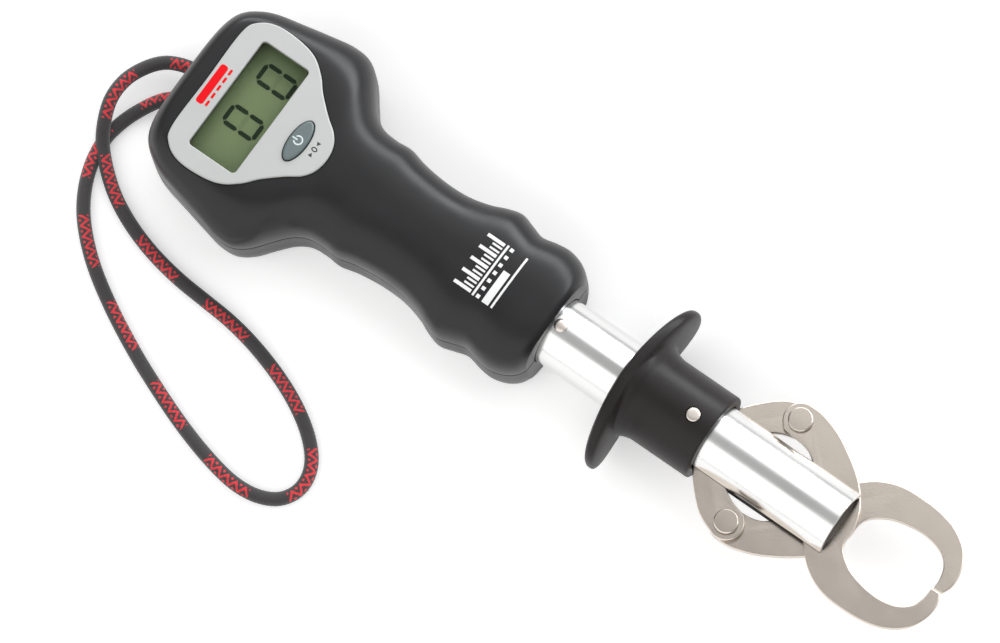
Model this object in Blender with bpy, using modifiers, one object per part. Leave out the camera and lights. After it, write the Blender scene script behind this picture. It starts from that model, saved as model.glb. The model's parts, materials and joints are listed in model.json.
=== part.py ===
"""Digital fish scale with a lip gripper, modelled as an assembly of separate solids.

Metres, +Z up. +X runs along the tube towards the jaws and the display faces +Z. The back of the
handle lies on z = 0, and the origin is under the middle of the scale without its lanyard.

Inside the tube slides a jaw carrier, pinned to the trigger sleeve. The jaws turn on a pin in the
carrier, and two links join their elbows to a pin fixed in the tube. Pulling the trigger back
spreads the elbows and opens the jaws, and the return spring closes them again.
"""

import math

import bmesh
import bpy
from mathutils import Matrix, Vector

# ---------------------------------------------------------------- driving dimensions
GAP = 0.0003  # clearance left between pieces that touch
AXIS_Z = 0.0176  # height of the tube's axis
TUBE_FRONT = 0.1013  # X of the tube's front end

TUBE_RADIUS = 0.0110
TUBE_BORE = 0.0098
TUBE_REAR = TUBE_FRONT - 0.122
TUBE_SLOT_REAR = TUBE_FRONT - 0.062
TUBE_SLOT_HEIGHT = 0.0052

PULL = 0.012  # travel of the trigger
JAW_PIVOT = TUBE_FRONT - 0.0061
LINK_PIVOT = TUBE_FRONT - 0.0483
PIN_RADIUS = 0.0015  # of the sleeve pin and the link pin
PIN_HOLE = PIN_RADIUS + GAP
LINK_EYE = 0.0031
ELBOW = (TUBE_FRONT - 0.0282, 0.0190)
PLATE = 0.0020  # thickness of the jaw and link plates
LAYER_Z = 0.00115  # height of the two plate layers above and below the axis

HANDLE_REAR = TUBE_FRONT - 0.2405
NOSE = TUBE_FRONT - 0.1044
WALL = 0.0026
HEAD_TOP = 0.0170  # of the shell, above the axis
BACK_DEPTH = AXIS_Z  # the flat back, below the axis
NOSE_WALL = 0.0045

SLEEVE_RADIUS = 0.0142
SLEEVE_BORE = TUBE_RADIUS + GAP
SLEEVE_FRONT = TUBE_FRONT - 0.0464
SLEEVE_REAR = TUBE_FRONT - 0.0794
SLEEVE_PIN = TUBE_FRONT - 0.0532
PIN_HEAD_RADIUS = 0.0022
PIN_HEAD_LOW = 0.0131  # underside of the sleeve pin's head, above the axis
FLANGE_HALF_WIDTH = 0.0283
FLANGE_HALF_HEIGHT = 0.0174
FLANGE_HALF_THICKNESS = 0.0030
FLANGE_SWEEP = 0.0036

WINDOW = (TUBE_FRONT - 0.2168, 0.0172, 0.0388)  # centre X, size along X, size along Y
BEZEL_TOP = 0.0176  # above the axis
BEZEL_THICK = 0.0014
BUTTON_X = TUBE_FRONT - 0.1984
BUTTON_SIZE = (0.0056, 0.0140)
BUTTON_TRAVEL = 0.0008

BATTERY_RADIUS = 0.00525
BATTERY_LENGTH = 0.0445
BATTERY_X = (TUBE_FRONT - 0.2190, TUBE_FRONT - 0.2078)
BATTERY_DROP = 0.0088  # battery axis below the tube's axis

CORD_RADIUS = 0.0022
CORD_HOLES_Y = (0.0050, -0.0055)
CORD_DROP = 0.0105  # cord holes below the tube's axis

# Housing screws: X, Y and the height of the upper shell's boss above the tube's axis.
SCREW_PLACES = (
    (TUBE_FRONT - 0.2325, 0.0200, 0.0152),
    (TUBE_FRONT - 0.2325, -0.0200, 0.0152),
    (TUBE_FRONT - 0.1140, 0.0148, 0.0096),
    (TUBE_FRONT - 0.1140, -0.0148, 0.0096),
)

# Stations of the handle: X behind the tube's front end, half-width, height above the axis and depth
# below it before both are cut flat, and how square the upper half's corners are.
HANDLE_STATIONS = (
    (-0.2405, 0.0170, 0.0095, 0.0100, 3.0),
    (-0.2400, 0.0205, 0.0130, 0.0135, 3.4),
    (-0.2380, 0.0242, 0.0162, 0.0170, 3.9),
    (-0.2345, 0.0272, 0.0186, 0.0192, 4.4),
    (-0.2290, 0.0300, 0.0194, 0.0200, 4.6),
    (-0.2200, 0.0322, 0.0196, 0.0200, 4.6),
    (-0.2110, 0.0343, 0.0196, 0.0200, 4.5),
    (-0.2045, 0.0356, 0.0194, 0.0200, 4.2),
    (-0.1990, 0.0352, 0.0190, 0.0200, 3.8),
    (-0.1945, 0.0322, 0.0186, 0.0198, 3.4),
    (-0.1905, 0.0272, 0.0182, 0.0196, 3.1),
    (-0.1865, 0.0226, 0.0177, 0.0194, 2.9),
    (-0.1820, 0.0199, 0.0172, 0.0193, 2.8),
    (-0.1765, 0.0194, 0.0168, 0.0193, 2.8),
    (-0.1715, 0.0197, 0.0165, 0.0193, 2.8),
    (-0.1655, 0.0183, 0.0161, 0.0192, 2.8),
    (-0.1570, 0.0174, 0.0158, 0.0191, 2.8),
    (-0.1490, 0.0177, 0.0158, 0.0191, 2.8),
    (-0.1420, 0.0194, 0.0161, 0.0192, 2.8),
    (-0.1370, 0.0215, 0.0165, 0.0193, 2.8),
    (-0.1325, 0.0226, 0.0167, 0.0193, 2.8),
    (-0.1280, 0.0214, 0.0167, 0.0193, 2.8),
    (-0.1235, 0.0202, 0.0166, 0.0192, 2.8),
    (-0.1185, 0.0212, 0.0167, 0.0192, 2.8),
    (-0.1140, 0.0216, 0.0167, 0.0191, 2.8),
    (-0.1095, 0.0204, 0.0164, 0.0187, 2.8),
    (-0.1062, 0.0181, 0.0155, 0.0177, 2.8),
    (-0.1044, 0.0152, 0.0136, 0.0160, 2.8),
)
BACK_SQUARENESS = 4.6

# Half of the bezel's outline, from the middle of its rear edge to its tip: X behind the tube's
# front end, and Y.
BEZEL_OUTLINE = (
    (-0.2325, 0.0000),
    (-0.2325, 0.0175),
    (-0.2300, 0.0228),
    (-0.2246, 0.0254),
    (-0.2166, 0.0255),
    (-0.2100, 0.0240),
    (-0.2048, 0.0203),
    (-0.2010, 0.0161),
    (-0.1955, 0.0113),
    (-0.1912, 0.0081),
    (-0.1888, 0.0045),
    (-0.1880, 0.0000),
)

# Outline of the jaw whose elbow is at +Y, from the elbow's front round, past the tip, and back:
# X from the tube's front end, and Y.
JAW_OUTLINE = (
    (-0.0209, 0.0235),
    (-0.0144, 0.0211),
    (-0.0044, 0.0147),
    (0.0012, 0.0085),
    (0.0038, 0.0025),
    (0.0046, -0.0050),
    (0.0098, -0.0095),
    (0.0160, -0.0114),
    (0.0224, -0.0119),
    (0.0280, -0.0106),
    (0.0316, -0.0078),
    (0.0331, -0.0040),
    (0.0333, -0.0003),
    (0.0363, -0.0003),
    (0.0377, -0.0040),
    (0.0372, -0.0090),
    (0.0345, -0.0142),
    (0.0300, -0.0178),
    (0.0245, -0.0199),
    (0.0170, -0.0208),
    (0.0080, -0.0203),
    (0.0005, -0.0172),
    (-0.0055, -0.0115),
    (-0.0100, -0.0040),
    (-0.0135, 0.0040),
    (-0.0180, 0.0105),
    (-0.0225, 0.0131),
)
JAW_TIP_POINTS = (12, 13)

# Outline of the +Y link between its elbow round and its rear eye.
LINK_OUTER = ((-0.0365, 0.0214), (-0.0423, 0.0161), (-0.0458, 0.0118), (-0.0491, 0.0064))
LINK_INNER = ((-0.0432, 0.0022), (-0.0395, 0.0062), (-0.0352, 0.0100), (-0.0305, 0.0128))

# Lanyard route from its first hole round to its second: X behind the tube's front end, Y, and
# height of the cord's middle above the floor.
CORD_DRY = CORD_RADIUS + 0.0001
CORD_ROUTE = (
    (-0.2343, 0.0050, AXIS_Z - CORD_DROP),
    (-0.2420, 0.0050, AXIS_Z - CORD_DROP),
    (-0.2480, 0.0038, 0.0069),
    (-0.2530, 0.0012, 0.0067),
    (-0.2568, -0.0036, 0.0068),
    (-0.2592, -0.0100, 0.0072),
    (-0.2592, -0.0172, 0.0071),
    (-0.2566, -0.0246, 0.0052),
    (-0.2526, -0.0306, 0.0032),
    (-0.2456, -0.0369, CORD_DRY),
    (-0.2386, -0.0414, CORD_DRY),
    (-0.2300, -0.0452, CORD_DRY),
    (-0.2205, -0.0480, CORD_DRY),
    (-0.2100, -0.0498, CORD_DRY),
    (-0.2000, -0.0506, CORD_DRY),
    (-0.1900, -0.0514, CORD_DRY),
    (-0.1800, -0.0532, CORD_DRY),
    (-0.1690, -0.0564, CORD_DRY),
    (-0.1590, -0.0606, CORD_DRY),
    (-0.1505, -0.0658, CORD_DRY),
    (-0.1446, -0.0715, CORD_DRY),
    (-0.1420, -0.0772, CORD_DRY),
    (-0.1423, -0.0828, CORD_DRY),
    (-0.1456, -0.0876, CORD_DRY),
    (-0.1520, -0.0905, CORD_DRY),
    (-0.1603, -0.0910, CORD_DRY),
    (-0.1708, -0.0891, CORD_DRY),
    (-0.1822, -0.0858, CORD_DRY),
    (-0.1946, -0.0812, CORD_DRY),
    (-0.2078, -0.0756, CORD_DRY),
    (-0.2218, -0.0685, CORD_DRY),
    (-0.2344, -0.0606, CORD_DRY),
    (-0.2438, -0.0523, CORD_DRY),
    (-0.2496, -0.0444, CORD_DRY),
    (-0.2532, -0.0358, CORD_DRY),
    (-0.2544, -0.0276, CORD_DRY),
    (-0.2534, -0.0206, CORD_DRY),
    (-0.2508, -0.0140, 0.0030),
    (-0.2468, -0.0083, 0.0052),
    (-0.2425, -0.0058, AXIS_Z - CORD_DROP - 0.0003),
    (-0.2343, -0.0055, AXIS_Z - CORD_DROP),
)
CORD_STEP = 0.0052

# Finishes: colour, roughness, metallic.
FINISHES = {
    "charcoal_plastic": ((0.030, 0.030, 0.032), 0.42, 0.0),
    "trigger_plastic": ((0.040, 0.036, 0.036), 0.55, 0.0),
    "carrier_plastic": ((0.055, 0.050, 0.050), 0.50, 0.0),
    "silver_plastic": ((0.58, 0.59, 0.58), 0.38, 0.2),
    "button_plastic": ((0.16, 0.21, 0.23), 0.40, 0.0),
    "clear_pane": ((0.85, 0.90, 0.88), 0.05, 0.0),
    "lcd_glass": ((0.09, 0.12, 0.05), 0.25, 0.0),
    "elastomer": ((0.35, 0.20, 0.35), 0.60, 0.0),
    "fibreglass": ((0.03, 0.16, 0.07), 0.45, 0.0),
    "switch_plastic": ((0.05, 0.05, 0.05), 0.45, 0.0),
    "polished_aluminium": ((0.86, 0.86, 0.86), 0.18, 1.0),
    "milled_aluminium": ((0.72, 0.72, 0.73), 0.35, 1.0),
    "satin_steel": ((0.52, 0.48, 0.44), 0.36, 1.0),
    "bright_steel": ((0.66, 0.64, 0.62), 0.25, 1.0),
    "spring_steel": ((0.45, 0.45, 0.46), 0.30, 1.0),
    "battery_wrap": ((0.10, 0.10, 0.12), 0.35, 0.3),
    "nickel_plate": ((0.70, 0.67, 0.60), 0.28, 1.0),
    "woven_cord": ((0.020, 0.017, 0.018), 0.85, 0.0),
    "brass": ((0.70, 0.52, 0.25), 0.30, 1.0),
}


# ---------------------------------------------------------------- scene and materials
def clear_scene():
    """Removes the objects that the file opens with."""
    for obj in list(bpy.data.objects):
        bpy.data.objects.remove(obj, do_unlink=True)


def new_collection(name):
    """Makes a collection under the scene's own."""
    collection = bpy.data.collections.new(name)
    bpy.context.scene.collection.children.link(collection)
    return collection


clear_scene()
PARTS = new_collection("digital_fish_scale")
CUTTERS = new_collection("cutters")
CUTTERS.hide_render = True


def finish(name):
    """Gives the material of a finish, making it the first time."""
    material = bpy.data.materials.get(name)
    if material:
        return material
    colour, roughness, metallic = FINISHES[name]
    material = bpy.data.materials.new(name)
    material.use_nodes = True
    shader = material.node_tree.nodes["Principled BSDF"]
    shader.inputs["Base Color"].default_value = (*colour, 1.0)
    shader.inputs["Roughness"].default_value = roughness
    shader.inputs["Metallic"].default_value = metallic
    material.diffuse_color = (*colour, 1.0)
    return material


def place(name, mesh, material=None):
    """Links a mesh as a part, or as a hidden cutter when it has no material."""
    obj = bpy.data.objects.new(name, mesh)
    if material:
        mesh.materials.clear()
        mesh.materials.append(finish(material))
        PARTS.objects.link(obj)
        return obj
    obj.hide_render = True
    obj.display_type = "WIRE"
    CUTTERS.objects.link(obj)
    return obj


def shade(mesh, degrees=35):
    """Shades round sides smooth and keeps real edges sharp."""
    mesh.shade_smooth()
    mesh.set_sharp_from_angle(angle=math.radians(degrees))


def mesh_from(bm, name):
    """Turns a bmesh into a mesh with its faces outward."""
    bmesh.ops.recalc_face_normals(bm, faces=bm.faces)
    mesh = bpy.data.meshes.new(name)
    bm.to_mesh(mesh)
    bm.free()
    shade(mesh)
    return mesh


# ---------------------------------------------------------------- shapes
def box(name, low, high, material=None, bevel=0.0):
    """Makes a box between two corners, with rounded edges when bevel is set."""
    bm = bmesh.new()
    bmesh.ops.create_cube(bm, size=1.0)
    size = Vector(high) - Vector(low)
    middle = (Vector(high) + Vector(low)) / 2
    bmesh.ops.scale(bm, vec=size, verts=bm.verts)
    bmesh.ops.translate(bm, vec=middle, verts=bm.verts)
    if bevel:
        bmesh.ops.bevel(bm, geom=bm.edges[:], offset=bevel, segments=2, profile=0.5, affect="EDGES")
    return place(name, mesh_from(bm, name), material)


def turn_to(axis):
    """Gives the rotation that takes +Z to an axis."""
    return Vector((0, 0, 1)).rotation_difference(Vector(axis)).to_matrix().to_4x4()


def rod(name, radius, start, end, material=None, sides=24, bevel=0.0):
    """Makes a cylinder between two points, with rounded rims when bevel is set."""
    start, end = Vector(start), Vector(end)
    bm = bmesh.new()
    bmesh.ops.create_cone(
        bm,
        cap_ends=True,
        segments=sides,
        radius1=radius,
        radius2=radius,
        depth=(end - start).length,
        matrix=Matrix.Translation((start + end) / 2) @ turn_to(end - start),
    )
    if bevel:
        caps = [face for face in bm.faces if len(face.verts) > 4]
        rims = {edge for face in caps for edge in face.edges}
        bmesh.ops.bevel(bm, geom=list(rims), offset=bevel, segments=2, profile=0.5, affect="EDGES")
    return place(name, mesh_from(bm, name), material)


def turned(name, profile, location, axis, material=None, sides=24):
    """Turns a profile of (radius, height) points, from its top down, round an axis."""
    mesh = bpy.data.meshes.new(name)
    bm = bmesh.new()
    points = [bm.verts.new((radius, 0.0, height)) for radius, height in profile]
    for first, second in zip(points, points[1:]):
        bm.edges.new((first, second))
    bm.to_mesh(mesh)
    bm.free()
    obj = place(name, mesh, material)
    obj.matrix_world = Matrix.Translation(location) @ turn_to(axis)
    screw = obj.modifiers.new("turn", "SCREW")
    screw.axis = "Z"
    screw.steps = sides
    screw.render_steps = sides
    screw.use_merge_vertices = True
    screw.merge_threshold = 0.00001
    screw.use_smooth_shade = True
    return obj


def settled(curve_obj, name, material=None):
    """Makes a mesh of a curve object, with its caps welded, and removes the curve."""
    graph = bpy.context.evaluated_depsgraph_get()
    mesh = bpy.data.meshes.new_from_object(curve_obj.evaluated_get(graph))
    matrix = curve_obj.matrix_world.copy()
    bpy.data.objects.remove(curve_obj, do_unlink=True)
    bm = bmesh.new()
    bm.from_mesh(mesh)
    bmesh.ops.remove_doubles(bm, verts=bm.verts, dist=0.000002)
    bmesh.ops.recalc_face_normals(bm, faces=bm.faces)
    bm.to_mesh(mesh)
    bm.free()
    shade(mesh)
    mesh.name = name
    obj = place(name, mesh, material)
    obj.matrix_world = matrix
    return obj


def plate(name, outline, bottom, top, material=None, corners=(), rounds=2, edge=0.0):
    """Makes a flat plate from an outline: a smooth closed curve through its points.

    The points whose numbers are in corners stay sharp. rounds is the number of steps between two
    points, and edge rounds the rim.
    """
    curve = bpy.data.curves.new(name, "CURVE")
    curve.dimensions = "2D"
    curve.fill_mode = "BOTH"
    curve.extrude = (top - bottom) / 2 - edge
    curve.bevel_depth = edge
    curve.bevel_resolution = 0
    curve.offset = -edge
    curve.resolution_u = rounds
    spline = curve.splines.new("BEZIER")
    spline.bezier_points.add(len(outline) - 1)
    for number, (point, (x, y)) in enumerate(zip(spline.bezier_points, outline)):
        point.co = (x, y, 0.0)
        kind = "VECTOR" if number in corners else "AUTO"
        point.handle_left_type = kind
        point.handle_right_type = kind
    spline.use_cyclic_u = True
    obj = bpy.data.objects.new(name, curve)
    obj.location = (0.0, 0.0, (top + bottom) / 2)
    CUTTERS.objects.link(obj)
    bpy.context.view_layer.update()
    return settled(obj, name, material)


def ellipse(centre, size, points=12):
    """Gives the points of an ellipse of a size along X and Y."""
    steps = [2 * math.pi * number / points for number in range(points)]
    return [
        (centre[0] + size[0] / 2 * math.cos(step), centre[1] + size[1] / 2 * math.sin(step))
        for step in steps
    ]


def combine(obj, others, operation):
    """Adds one exact Boolean for each of the other solids, and hides them."""
    for other in others:
        modifier = obj.modifiers.new(operation.lower(), "BOOLEAN")
        modifier.operation = operation
        modifier.solver = "EXACT"
        modifier.object = other
    return obj


def cut(obj, *others):
    """Cuts the other solids out of one."""
    return combine(obj, others, "DIFFERENCE")


def join(obj, *others):
    """Joins the other solids to one."""
    return combine(obj, others, "UNION")


# ---------------------------------------------------------------- handle form
def catmull_rom(points, steps):
    """Gives a smooth line through points of any dimension, with steps between two points."""
    line = []
    padded = [points[0], *points, points[-1]]
    for number in range(1, len(padded) - 2):
        around = [Vector(point) for point in padded[number - 1 : number + 3]]
        for step in range(steps):
            t = step / steps
            before, first, second, after = around
            slope_in = (second - before) / 2
            slope_out = (after - first) / 2
            line.append(
                first * (2 * t**3 - 3 * t**2 + 1)
                + slope_in * (t**3 - 2 * t**2 + t)
                + second * (3 * t**2 - 2 * t**3)
                + slope_out * (t**3 - t**2)
            )
    line.append(Vector(points[-1]))
    return line


def super_point(angle, power):
    """Gives a point of a unit superellipse."""
    across, up = math.cos(angle), math.sin(angle)
    return (
        math.copysign(abs(across) ** (2 / power), across),
        math.copysign(abs(up) ** (2 / power), up),
    )


def handle_form(name, inset, rear, front, steps, around):
    """Lofts the handle's closed form between two X places, set in by a wall."""
    sections = [
        section
        for section in catmull_rom(HANDLE_STATIONS, steps)
        if rear - 1e-6 <= TUBE_FRONT + section[0] <= front + 1e-6
    ]
    bm = bmesh.new()
    rings = []
    for back, width, top, depth, squareness in sections:
        ring = []
        for number in range(around):
            angle = 2 * math.pi * number / around
            power = squareness if angle < math.pi else BACK_SQUARENESS
            across, up = super_point(angle, power)
            y = (width - inset) * across
            z = (top - inset) * up if up > 0 else (depth - inset) * up
            z = min(max(z, inset - BACK_DEPTH), HEAD_TOP - inset)
            ring.append(bm.verts.new((TUBE_FRONT + back, y, AXIS_Z + z)))
        rings.append(ring)
    for first, second in zip(rings, rings[1:]):
        for number in range(around):
            following = (number + 1) % around
            bm.faces.new((first[number], first[following], second[following], second[number]))
    bm.faces.new(rings[0])
    bm.faces.new(rings[-1])
    bmesh.ops.triangulate(bm, faces=bm.faces)
    return place(name, mesh_from(bm, name))


def half_space(name, low, high):
    """Makes a block over the whole handle between two heights."""
    return box(name, (HANDLE_REAR - 0.02, -0.05, low), (NOSE + 0.02, 0.05, high))


def half_shell(name, low, high):
    """Makes one hollow handle shell out of the whole form, clear of the slab between two heights."""
    form = handle_form(name, 0.0, HANDLE_REAR, NOSE, 1, 24)
    CUTTERS.objects.unlink(form)
    PARTS.objects.link(form)
    form.hide_render = False
    form.display_type = "TEXTURED"
    form.data.materials.append(finish("charcoal_plastic"))
    hollow = handle_form(name + "_hollow", WALL, HANDLE_REAR + WALL, NOSE - NOSE_WALL, 1, 16)
    return cut(form, hollow, half_space(name + "_half", low, high))


# ---------------------------------------------------------------- housing
PARTING = GAP / 2
CEILING = AXIS_Z + HEAD_TOP - WALL  # Z of the upper shell's inner ceiling
RECESS_FLOOR = AXIS_Z + BEZEL_TOP - BEZEL_THICK - GAP

DOOR_LOW = (BATTERY_X[0] - 0.0070, -0.0246)
DOOR_HIGH = (BATTERY_X[1] + 0.0062, 0.0246)
DOOR_THICK = 0.0020
TAB_END = DOOR_HIGH[0] + 0.0075
DOOR_SCREW_X = DOOR_HIGH[0] + 0.0040

CELL_LOW = (NOSE - 0.0690, -0.0060, AXIS_Z - 0.0040)
CELL_HIGH = (NOSE - 0.0250, 0.0060, AXIS_Z + 0.0040)
CELL_SCREWS_X = (CELL_LOW[0] + 0.0045, CELL_LOW[0] + 0.0115)
ANCHOR_PIN_X = CELL_HIGH[0] - 0.0040
SWITCH_TOP = AXIS_Z + 0.0100
RIVET_X = TUBE_FRONT - 0.1020
BEZEL_MIDDLE = TUBE_FRONT - 0.2120
SLIDE_FIT = 0.0001  # how much wider the sleeve's bore is cut than its size says


def bezel_outline(offset=0.0):
    """Gives the bezel's whole outline, grown by an offset from its middle."""
    half = [(TUBE_FRONT + x, y) for x, y in BEZEL_OUTLINE]
    outline = half + [(x, -y) for x, y in reversed(half[1:-1])]
    middle = BEZEL_MIDDLE
    grown = []
    for x, y in outline:
        away = Vector((x - middle, y)).normalized() * offset
        grown.append((x + away.x, y + away.y))
    return grown


def window_corners(grow):
    """Gives the low and high corners of the display window, grown all round."""
    middle, length, width = WINDOW
    low = (middle - length / 2 - grow, -width / 2 - grow)
    high = (middle + length / 2 + grow, width / 2 + grow)
    return low, high


def window_box(name, grow, bottom, top, material=None, bevel=0.0):
    """Makes a block over the display window between two heights."""
    low, high = window_corners(grow)
    return box(name, (*low, bottom), (*high, top), material, bevel)


def upper_shell():
    """Makes the upper handle shell with its display opening, bosses and tube seat."""
    shell = half_shell("handle_upper_shell", AXIS_Z - 0.06, AXIS_Z + PARTING)
    bosses = []
    for number, (x, y, boss) in enumerate(SCREW_PLACES):
        bottom = (x, y, AXIS_Z + PARTING)
        bosses.append(rod(f"upper_boss_{number}", 0.0029, bottom, (x, y, AXIS_Z + boss), sides=12))
    join(shell, *bosses)
    holes = [
        rod(f"upper_pilot_{number}", 0.0016, (x, y, 0.0), (x, y, AXIS_Z + 0.0084), sides=12)
        for number, (x, y, _) in enumerate(SCREW_PLACES)
    ]
    recess = plate("bezel_recess", bezel_outline(GAP), RECESS_FLOOR, AXIS_Z + 0.03)
    window = window_box("shell_window", 0.0010, AXIS_Z + 0.010, AXIS_Z + 0.03)
    grown = [side + 0.0010 for side in BUTTON_SIZE]
    button_hole = plate(
        "shell_button_hole", ellipse((BUTTON_X, 0.0), grown), CEILING - 0.002, AXIS_Z + 0.03
    )
    return cut(shell, *holes, tube_seat("upper_seat"), recess, window, button_hole)


def tube_seat(name):
    """Makes the cutter of the tube's mouth in the nose."""
    return rod(
        name,
        TUBE_RADIUS + GAP,
        (NOSE - 0.02, 0.0, AXIS_Z),
        (NOSE + 0.02, 0.0, AXIS_Z),
        sides=32,
    )


def lower_shell():
    """Makes the lower handle shell with its bosses, battery opening and lanyard holes."""
    shell = half_shell("handle_lower_shell", AXIS_Z - PARTING, AXIS_Z + 0.06)
    top = AXIS_Z - PARTING
    adds = []
    for number, (x, y, _) in enumerate(SCREW_PLACES):
        adds.append(rod(f"lower_boss_{number}", 0.0037, (x, y, 0.0012), (x, y, top), sides=12))
    adds.append(
        box(
            "cell_seat",
            (CELL_LOW[0] + 0.0005, CELL_LOW[1] + 0.0005, 0.0012),
            (CELL_SCREWS_X[1] + 0.0040, CELL_HIGH[1] - 0.0005, CELL_LOW[2] - GAP),
        )
    )
    adds.append(rod("door_boss", 0.0030, (DOOR_SCREW_X, 0, 0.0018), (DOOR_SCREW_X, 0, 0.0075), sides=16))
    join(shell, *adds)
    cuts = [tube_seat("lower_seat")]
    for number, (x, y, _) in enumerate(SCREW_PLACES):
        cuts.append(rod(f"shank_hole_{number}", 0.0017, (x, y, -0.01), (x, y, 0.03), sides=12))
        cuts.append(rod(f"head_hole_{number}", 0.0030, (x, y, -0.01), (x, y, 0.0060), sides=12))
    for number, x in enumerate(CELL_SCREWS_X):
        low = (x, 0.0, 0.0050)
        cuts.append(rod(f"cell_pilot_{number}", 0.0016, low, (x, 0.0, CELL_LOW[2] + 0.002), sides=12))
    cuts.append(
        box("battery_opening", (*DOOR_LOW, -0.01), (*DOOR_HIGH, AXIS_Z - BATTERY_DROP))
    )
    cuts.append(
        box("tab_recess", (DOOR_HIGH[0] - 0.001, -0.0065, -0.01), (TAB_END, 0.0065, 0.0016))
    )
    cuts.append(
        rod("door_pilot", 0.0014, (DOOR_SCREW_X, 0, -0.01), (DOOR_SCREW_X, 0, 0.0062), sides=12)
    )
    for number, y in enumerate(CORD_HOLES_Y):
        z = AXIS_Z - CORD_DROP
        start = (HANDLE_REAR - 0.004, y, z)
        cuts.append(
            rod(f"lanyard_hole_{number}", CORD_RADIUS + 0.0005, start, (HANDLE_REAR + 0.006, y, z), sides=16)
        )
    return cut(shell, *cuts)


def bezel_plate():
    """Makes the display's trim plate with its window and button openings."""
    bottom, top = AXIS_Z + BEZEL_TOP - BEZEL_THICK, AXIS_Z + BEZEL_TOP
    bezel = plate("bezel_plate", bezel_outline(), bottom, top, "silver_plastic", edge=0.0004)
    window = window_box("bezel_window", 0.0, AXIS_Z, AXIS_Z + 0.03)
    grown = [side + 2 * GAP for side in BUTTON_SIZE]
    hole = plate("bezel_button_hole", ellipse((BUTTON_X, 0.0), grown), AXIS_Z, AXIS_Z + 0.03)
    return cut(bezel, window, hole)


def display():
    """Makes the clear pane, the display module and its connector strip."""
    window_box("lcd_window", 0.0007, RECESS_FLOOR - 0.0014, RECESS_FLOOR - 0.0001, "clear_pane")
    window_box("lcd_module", 0.0007, AXIS_Z + 0.0098, AXIS_Z + 0.0126, "lcd_glass", bevel=0.0002)
    low, high = window_corners(0.0)
    box(
        "zebra_connector",
        (low[0], low[1] + 0.001, AXIS_Z + 0.0062),
        (low[0] + 0.0025, high[1] - 0.001, AXIS_Z + 0.0095),
        "elastomer",
    )


def power_button():
    """Makes the oval button with the flange that keeps it in, and the switch beneath it."""
    top = AXIS_Z + BEZEL_TOP + 0.0009
    stem_bottom = SWITCH_TOP + BUTTON_TRAVEL + 0.0002
    centre = (BUTTON_X, 0.0)
    outline = ellipse(centre, BUTTON_SIZE)
    cap = plate("power_button", outline, stem_bottom, top, "button_plastic", edge=0.0005)
    wide = [side + 0.0030 for side in BUTTON_SIZE]
    flange = plate("button_flange", ellipse(centre, wide), CEILING - 0.0020, CEILING - 0.0004)
    join(cap, flange)
    low = (BUTTON_X - 0.0030, -0.0030, AXIS_Z + 0.0062)
    switch = box("button_switch", low, (BUTTON_X + 0.0030, 0.0030, SWITCH_TOP - 0.0009), "switch_plastic")
    foot = (BUTTON_X, 0, AXIS_Z + 0.0070)
    plunger = rod("switch_plunger", 0.0016, foot, (BUTTON_X, 0, SWITCH_TOP), sides=16)
    join(switch, plunger)


def circuit_board():
    """Makes the circuit board under the display."""
    box(
        "circuit_board",
        (TUBE_FRONT - 0.2280, -0.0205, AXIS_Z + 0.0043),
        (TUBE_FRONT - 0.1900, 0.0205, AXIS_Z + 0.0059),
        "fibreglass",
    )


def batteries():
    """Makes the two cells with their contacts and the door under them."""
    z = AXIS_Z - BATTERY_DROP
    end = BATTERY_LENGTH / 2
    for number, x in enumerate(BATTERY_X, start=1):
        facing = 1 if number == 1 else -1
        profile = [
            (0.0, end),
            (0.0019, end),
            (0.0019, end - 0.0009),
            (BATTERY_RADIUS - 0.0004, end - 0.0009),
            (BATTERY_RADIUS, end - 0.0013),
            (BATTERY_RADIUS, 0.0004 - end),
            (BATTERY_RADIUS - 0.0004, -end),
            (0.0, -end),
        ]
        turned(f"battery_{number}", profile, (x, 0.0, z), (0, facing, 0), "battery_wrap", sides=16)
    for side, name in ((1, "battery_contact_left"), (-1, "battery_contact_right")):
        near, far = side * (end + GAP), side * (end + GAP + 0.0006)
        box(
            name,
            (BATTERY_X[0] - 0.0042, min(near, far), z - 0.0042),
            (BATTERY_X[1] + 0.0042, max(near, far), z + 0.0042),
            "nickel_plate",
        )


def battery_door():
    """Makes the battery door with its tab and screw."""
    lift = 0.0002
    door = box(
        "battery_door",
        (DOOR_LOW[0] + GAP, DOOR_LOW[1] + GAP, lift),
        (DOOR_HIGH[0] - GAP, DOOR_HIGH[1] - GAP, lift + DOOR_THICK),
        "charcoal_plastic",
    )
    tab = box(
        "door_tab",
        (DOOR_HIGH[0] - 0.002, -0.0060, lift),
        (TAB_END - 0.0005, 0.0060, 0.0013),
    )
    join(door, tab)
    hole = rod("door_hole", 0.0014, (DOOR_SCREW_X, 0, -0.01), (DOOR_SCREW_X, 0, 0.01), sides=12)
    sink = rod("door_sink", 0.0024, (DOOR_SCREW_X, 0, -0.01), (DOOR_SCREW_X, 0, 0.0008), sides=16)
    cut(door, hole, sink)
    screw("battery_door_screw", (DOOR_SCREW_X, 0.0, 0.0002), 0.0020, 0.0011, 0.0055, 0.0003)


def screw(name, head_face, head_radius, shank_radius, length, head_height):
    """Makes a screw with its head face down at a point and its shank going up."""
    profile = [
        (0.0, length),
        (shank_radius * 0.6, length),
        (shank_radius, length - shank_radius * 0.7),
        (shank_radius, head_height),
        (head_radius, head_height),
        (head_radius, head_height * 0.3),
        (head_radius * 0.8, 0.0),
        (0.0, 0.0),
    ]
    return turned(name, profile, head_face, (0, 0, 1), "bright_steel", sides=12)


def housing_screws():
    """Makes the four screws that hold the shells together, heads sunk in the back."""
    head_face = 0.0040
    for number, (x, y, _) in enumerate(SCREW_PLACES, start=1):
        screw(f"housing_screw_{number}", (x, y, head_face), 0.0025, 0.0013, 0.0215, 0.0017)


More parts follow.
